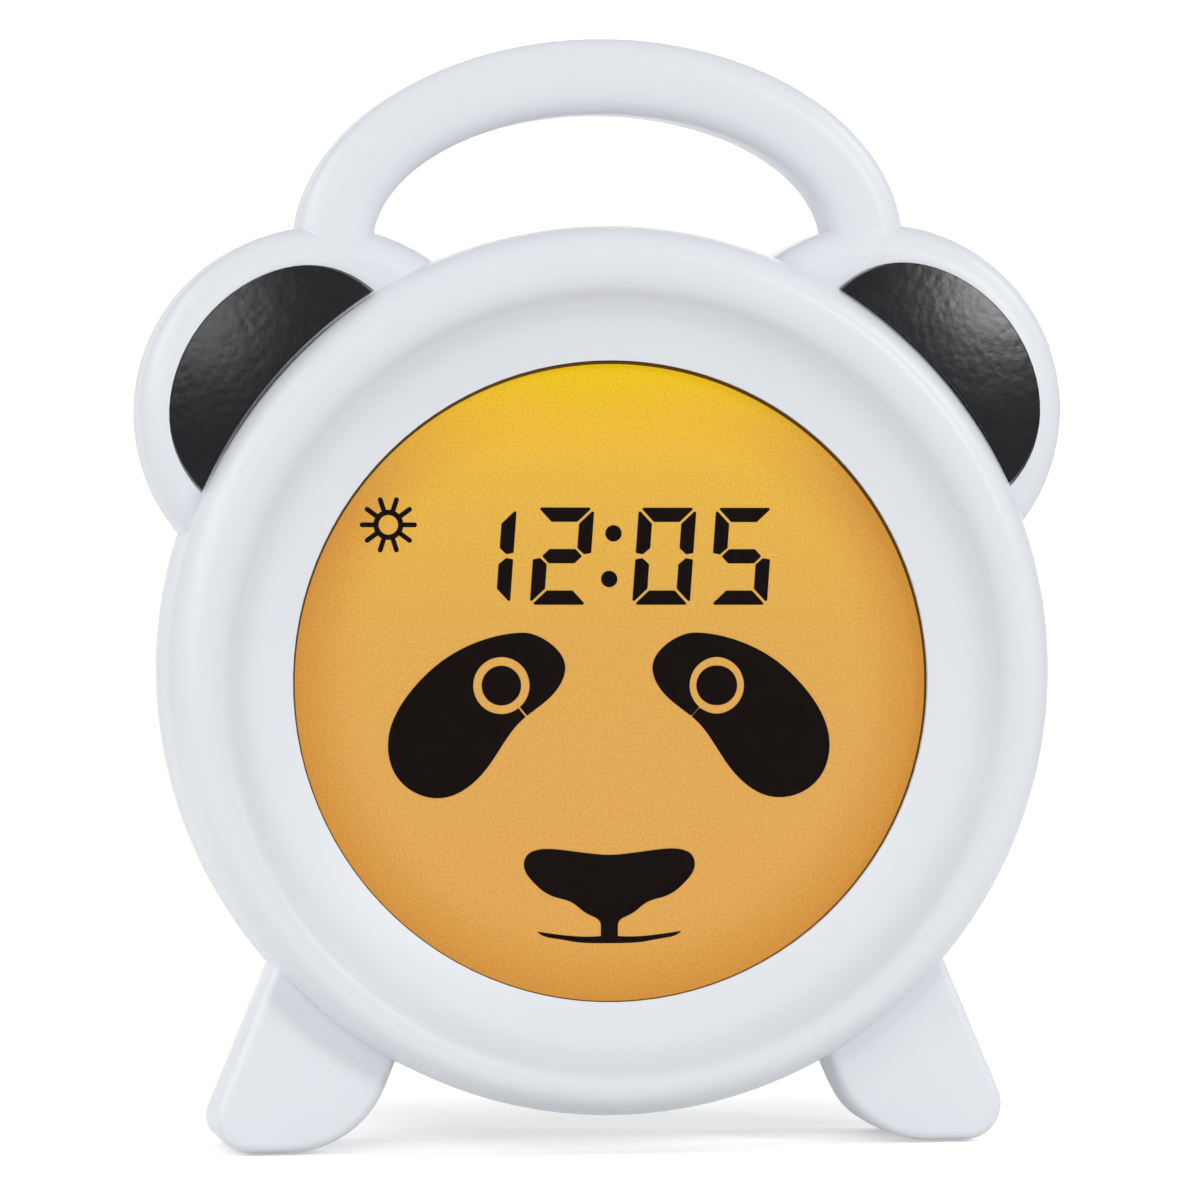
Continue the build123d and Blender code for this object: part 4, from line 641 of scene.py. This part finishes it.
def gauze_tree():
    """Two crossing layers of fine straight threads that fill a circle."""
    tree = Tree("gauze", {"Radius": ("Float", 0.012), "Threads": ("Int", 41), "Thickness": ("Float", 0.0001),
                          "Place": ("Vector", (0, 0, 0))})
    radius, place = tree.entry.outputs["Radius"], tree.entry.outputs["Place"]
    threads, thick = tree.entry.outputs["Threads"], tree.entry.outputs["Thickness"]
    reach = tree.math("MULTIPLY", radius, 0.985)
    line = tree.node("GeometryNodeMeshLine", dict(mode="END_POINTS"),
                     {"Count": threads, "Start Location": tree.vector(z=tree.math("MULTIPLY", reach, -1.0)),
                      "Offset": tree.vector(z=reach)})[0]
    straight = tree.node("GeometryNodeCurvePrimitiveLine", values={"Start": (-1, 0, 0), "End": (1, 0, 0)})[0]
    section = tree.node("GeometryNodeCurvePrimitiveCircle",
                        values={"Resolution": 6, "Radius": tree.math("MULTIPLY", thick, 0.5)})[0]
    thread = tree.node("GeometryNodeCurveToMesh",
                       values={"Curve": straight, "Profile Curve": section, "Fill Caps": True})[0]
    apart = tree.node("ShaderNodeSeparateXYZ", values={0: tree.node("GeometryNodeInputPosition")[0]})["Z"]
    rest = tree.math("SUBTRACT", tree.math("MULTIPLY", radius, radius), tree.math("MULTIPLY", apart, apart))
    layer = tree.node("GeometryNodeInstanceOnPoints",
                      values={"Points": line, "Instance": thread,
                              "Scale": tree.vector(tree.math("SQRT", rest), 1.0, 1.0)})[0]
    behind = tree.vector(y=tree.math("MULTIPLY", thick, 0.9))
    crossing = tree.node("GeometryNodeTransform",
                         values={"Geometry": layer, "Translation": behind,
                                 "Rotation": (0, math.radians(90), 0)})[0]
    cloth = tree.node("GeometryNodeTransform",
                      values={"Geometry": tree.joined(layer, crossing), "Translation": place})[0]
    tree.finish(cloth)
    return tree


def legs_tree():
    """Two facing rows of bent legs, as on the sides of a chip."""
    tree = Tree("chip_legs", {"Count": ("Int", 8), "Pitch": ("Float", 0.001), "Width": ("Float", 0.012),
                              "Rise": ("Float", 0.0008), "Place": ("Vector", (0, 0, 0))})
    count, pitch = tree.entry.outputs["Count"], tree.entry.outputs["Pitch"]
    width, rise, place = (tree.entry.outputs[title] for title in ("Width", "Rise", "Place"))
    reach, thick, inside = 0.0011, 0.00013, 0.0002          # of a leg, in metres
    bend = tree.node("GeometryNodeCurveQuadraticBezier",
                     values={"Resolution": 5, "Start": tree.vector(-inside, rise, 0.0),
                             "Middle": tree.vector(0.8 * reach, tree.math("MULTIPLY", rise, 1.25), 0.0),
                             "End": tree.vector(reach, thick, 0.0)})[0]
    section = tree.node("GeometryNodeCurvePrimitiveCircle",
                        values={"Resolution": 8, "Radius": 1.4 * thick})[0]
    leg = tree.node("GeometryNodeCurveToMesh",
                    values={"Curve": bend, "Profile Curve": section, "Fill Caps": True})[0]
    span = tree.math("MULTIPLY", tree.math("SUBTRACT", count, 1.0), tree.math("MULTIPLY", pitch, 0.5))
    half = tree.math("MULTIPLY", width, 0.5)
    first = tree.vector(half, 0.0, tree.math("MULTIPLY", span, -1.0))
    line = tree.node("GeometryNodeMeshLine", dict(mode="END_POINTS"),
                     {"Count": count, "Start Location": first, "Offset": tree.vector(half, 0.0, span)})[0]
    row = tree.node("GeometryNodeInstanceOnPoints", values={"Points": line, "Instance": leg})[0]
    other = tree.node("GeometryNodeTransform", values={"Geometry": row, "Rotation": (0, math.pi, 0)})[0]
    both = tree.joined(row, other)
    tree.finish(tree.node("GeometryNodeTransform", values={"Geometry": both, "Translation": place})[0])
    return tree


def cover_speaker():
    """Thin gauze behind the grille's holes."""
    low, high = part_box("speaker_gasket")
    middle = (low + high) / 2
    cloth = finishes["gasket_black"].material
    mesh = gauze_tree().mesh(cloth, Radius=11.6 * MM, Threads=39, Thickness=0.16 * MM,
                             Place=(middle.x, high.y - 0.3 * MM, middle.z))
    plain_piece("speaker_gauze", mesh, "gasket_black", "case")


# middle in X and Z, width, legs on a side and their pitch, for each chip, in millimetres
CHIPS = ((-8, 71.5, 12, 10, 1.0), (14, 69.5, 6, 4, 1.1), (22, 57.5, 5, 3, 1.1), (-24, 61.5, 5, 3, 1.1),
         (4, 58.5, 3.2, 7, 1.27))


def leg_chips():
    """Legs on the main board's chips, down to the board's face."""
    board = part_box("main_board")[1].y
    tree = legs_tree()
    for count, (x, z, width, legs, pitch) in enumerate(CHIPS):
        mesh = tree.mesh(finishes["screw_steel"].material, Count=legs, Pitch=pitch * MM, Width=width * MM,
                         Rise=0.7 * MM, Place=(x * MM, board, z * MM))
        plain_piece(f"chip_legs_{count}", mesh, "screw_steel", "case")


mark_keys()
mark_switch()
mark_cells()
paint_window_shadow()
cover_speaker()
leg_chips()


# ---------------------------------------------------------------- camera, light and floor
def aim_camera():
    """Camera a little to the left of the clock's middle and just above it, as far off as a product shot."""
    azimuth, elevation, roll = math.radians(-8.681), math.radians(1.017), math.radians(-0.514)
    distance, focal, sensor = 1326.5 * MM, 258.44, 36.0
    middle = Vector((0, -9.5, 73.5)) * MM
    focal_px = 8614.8           # focal length in pixels of a frame 1200 wide
    off_right, off_down = 1.92 / focal_px, 69.62 / focal_px        # the case's middle from the frame's
    back = Vector((math.sin(azimuth) * math.cos(elevation), -math.cos(azimuth) * math.cos(elevation),
                   math.sin(elevation)))
    right = (-back).cross(Vector((0, 0, 1))).normalized()
    up = right.cross(-back)
    yaw = Matrix.Rotation(math.atan(off_right), 3, up)
    pitch = Matrix.Rotation(math.atan(off_down), 3, yaw @ right)
    forward = pitch @ yaw @ -back
    up = pitch @ up
    right = forward.cross(up)
    right, up = (right * math.cos(roll) + up * math.sin(roll), up * math.cos(roll) - right * math.sin(roll))
    data = bpy.data.cameras.new("camera")
    data.lens, data.sensor_width = focal, sensor
    data.clip_start, data.clip_end = 0.1, 20
    camera = bpy.data.objects.new("camera", data)
    bpy.context.scene.collection.objects.link(camera)
    turned = Matrix((right, up, -forward)).transposed()
    camera.matrix_world = Matrix.Translation(middle + back * distance) @ turned.to_4x4()
    bpy.context.scene.camera = camera


def lamp(name, turn, rise, size, watts, distance=1.3):
    """Square soft box turned to the clock."""
    across, up = math.radians(turn), math.radians(rise)
    middle = Vector((0, 0, 80 * MM))
    away = Vector((math.sin(across) * math.cos(up), -math.cos(across) * math.cos(up), math.sin(up)))
    data = bpy.data.lights.new(name, "AREA")
    data.size, data.energy = size, watts
    light = bpy.data.objects.new(name, data)
    bpy.context.scene.collection.objects.link(light)
    light.location = middle + away * distance
    light.rotation_mode = "QUATERNION"
    light.rotation_quaternion = (-away).to_track_quat("-Z", "Y")


WORLD = 0.42                # plain level of the room's light
FLOOR_LIFT = 0.42           # brings the floor in plain light up to white
FLOOR_R = 0.7               # metres
FLOOR_FADE = (180.0, 640.0)         # the floor fades out between these distances, mm
PAINTED_POOL_FADE = (27.0, 62.0)            # and its painted pools of light and shadow between these, from side to side

# each soft box: degrees from the front to the right, degrees up, size in metres, watts
LAMPS = {
    "left_front": (-16, 18, 0.36, 2.2),
    "right_front": (31, 19, 0.28, 4.4),
    "left_side": (-50, 12, 0.40, 1.6),
    "left_low": (-75, 12, 0.40, 1.5),
    "left_wide": (-100, 30, 0.80, 4.6),
    "right_low": (60, 12, 0.40, 0.4),
    "right_high": (85, 38, 0.40, 3.3),
    "behind": (165, 8, 0.80, 4.0),
}


def seen(finish):
    """1 for rays from the camera, and for those that a gloss or a clear piece sends on."""
    path = finish.node("ShaderNodeLightPath")
    sent_on = path("Is Glossy Ray").math("MAXIMUM", path("Is Transmission Ray"))
    return path("Is Camera Ray").math("MAXIMUM", sent_on)


def light_studio():
    """The soft boxes and the room's plain light."""
    for name, values in LAMPS.items():
        lamp(name, *values)
    world = bpy.data.worlds.new("studio")
    bpy.context.scene.world = world
    world.use_nodes = True
    background = world.node_tree.nodes["Background"]
    background.inputs["Color"].default_value = (1, 1, 1, 1)
    background.inputs["Strength"].default_value = WORLD


def lay_floor():
    """Pale floor: the clock's soft shadow, painted pools of shadow and light, fading out a little way off."""
    mesh = bpy.data.meshes.new("floor")
    shape = bmesh.new()
    bmesh.ops.create_circle(shape, cap_ends=True, segments=96, radius=FLOOR_R)
    shape.to_mesh(mesh)
    shape.free()
    floor = bpy.data.objects.new("floor", mesh)
    bpy.context.scene.collection.objects.link(floor)
    finish = Finish("floor", (0.82, 0.82, 0.82), 0.9, Specular_IOR_Level=0.0)
    x, y, _ = finish.axes()
    away = ((x * x + y * y) ** 0.5).ramp(*FLOOR_FADE)

    def painted_pool(across, along, deep):
        """1 on a line from side to side, falling softly to 0 before and behind it and past its ends."""
        return (1 - abs(x - across).ramp(*PAINTED_POOL_FADE)) * (1 - abs(y - along).ramp(0.0, deep))

    # painted light under the clock, painted shadow behind it and painted shade before it, in the floor's glow
    under, behind, before = painted_pool(6, -1, 32.0), painted_pool(14, 52, 85.0), painted_pool(4, -22, 25.0)
    lift_and_painted_shadow = 0.26 * under - 0.25 * behind - 0.10 * before + FLOOR_LIFT
    finish.shader.inputs["Emission Color"].default_value = (1, 1, 1, 1)
    finish.drive("Emission Strength", seen(finish) * lift_and_painted_shadow)
    finish.drive("Alpha", 1 - away)
    mesh.materials.append(finish.material)


def hang_backdrop():
    """White board far behind the clock, as wide as the picture needs."""
    far, wide, low, high = 3.2, 1.2, -0.9, 1.1     # metres
    mesh = bpy.data.meshes.new("backdrop")
    mesh.from_pydata([(-wide, far, low), (wide, far, low), (wide, far, high), (-wide, far, high)],
                     [], [(0, 1, 2, 3)])
    backdrop = bpy.data.objects.new("backdrop", mesh)
    bpy.context.scene.collection.objects.link(backdrop)
    finish = Finish("backdrop", (0.5, 0.5, 0.5), 0.9, Specular_IOR_Level=0.0)
    finish.shader.inputs["Emission Color"].default_value = (1, 1, 1, 1)
    finish.drive("Emission Strength", seen(finish))
    mesh.materials.append(finish.material)


aim_camera()
light_studio()
lay_floor()
hang_backdrop()

scene = bpy.context.scene
scene.view_settings.view_transform = "Standard"
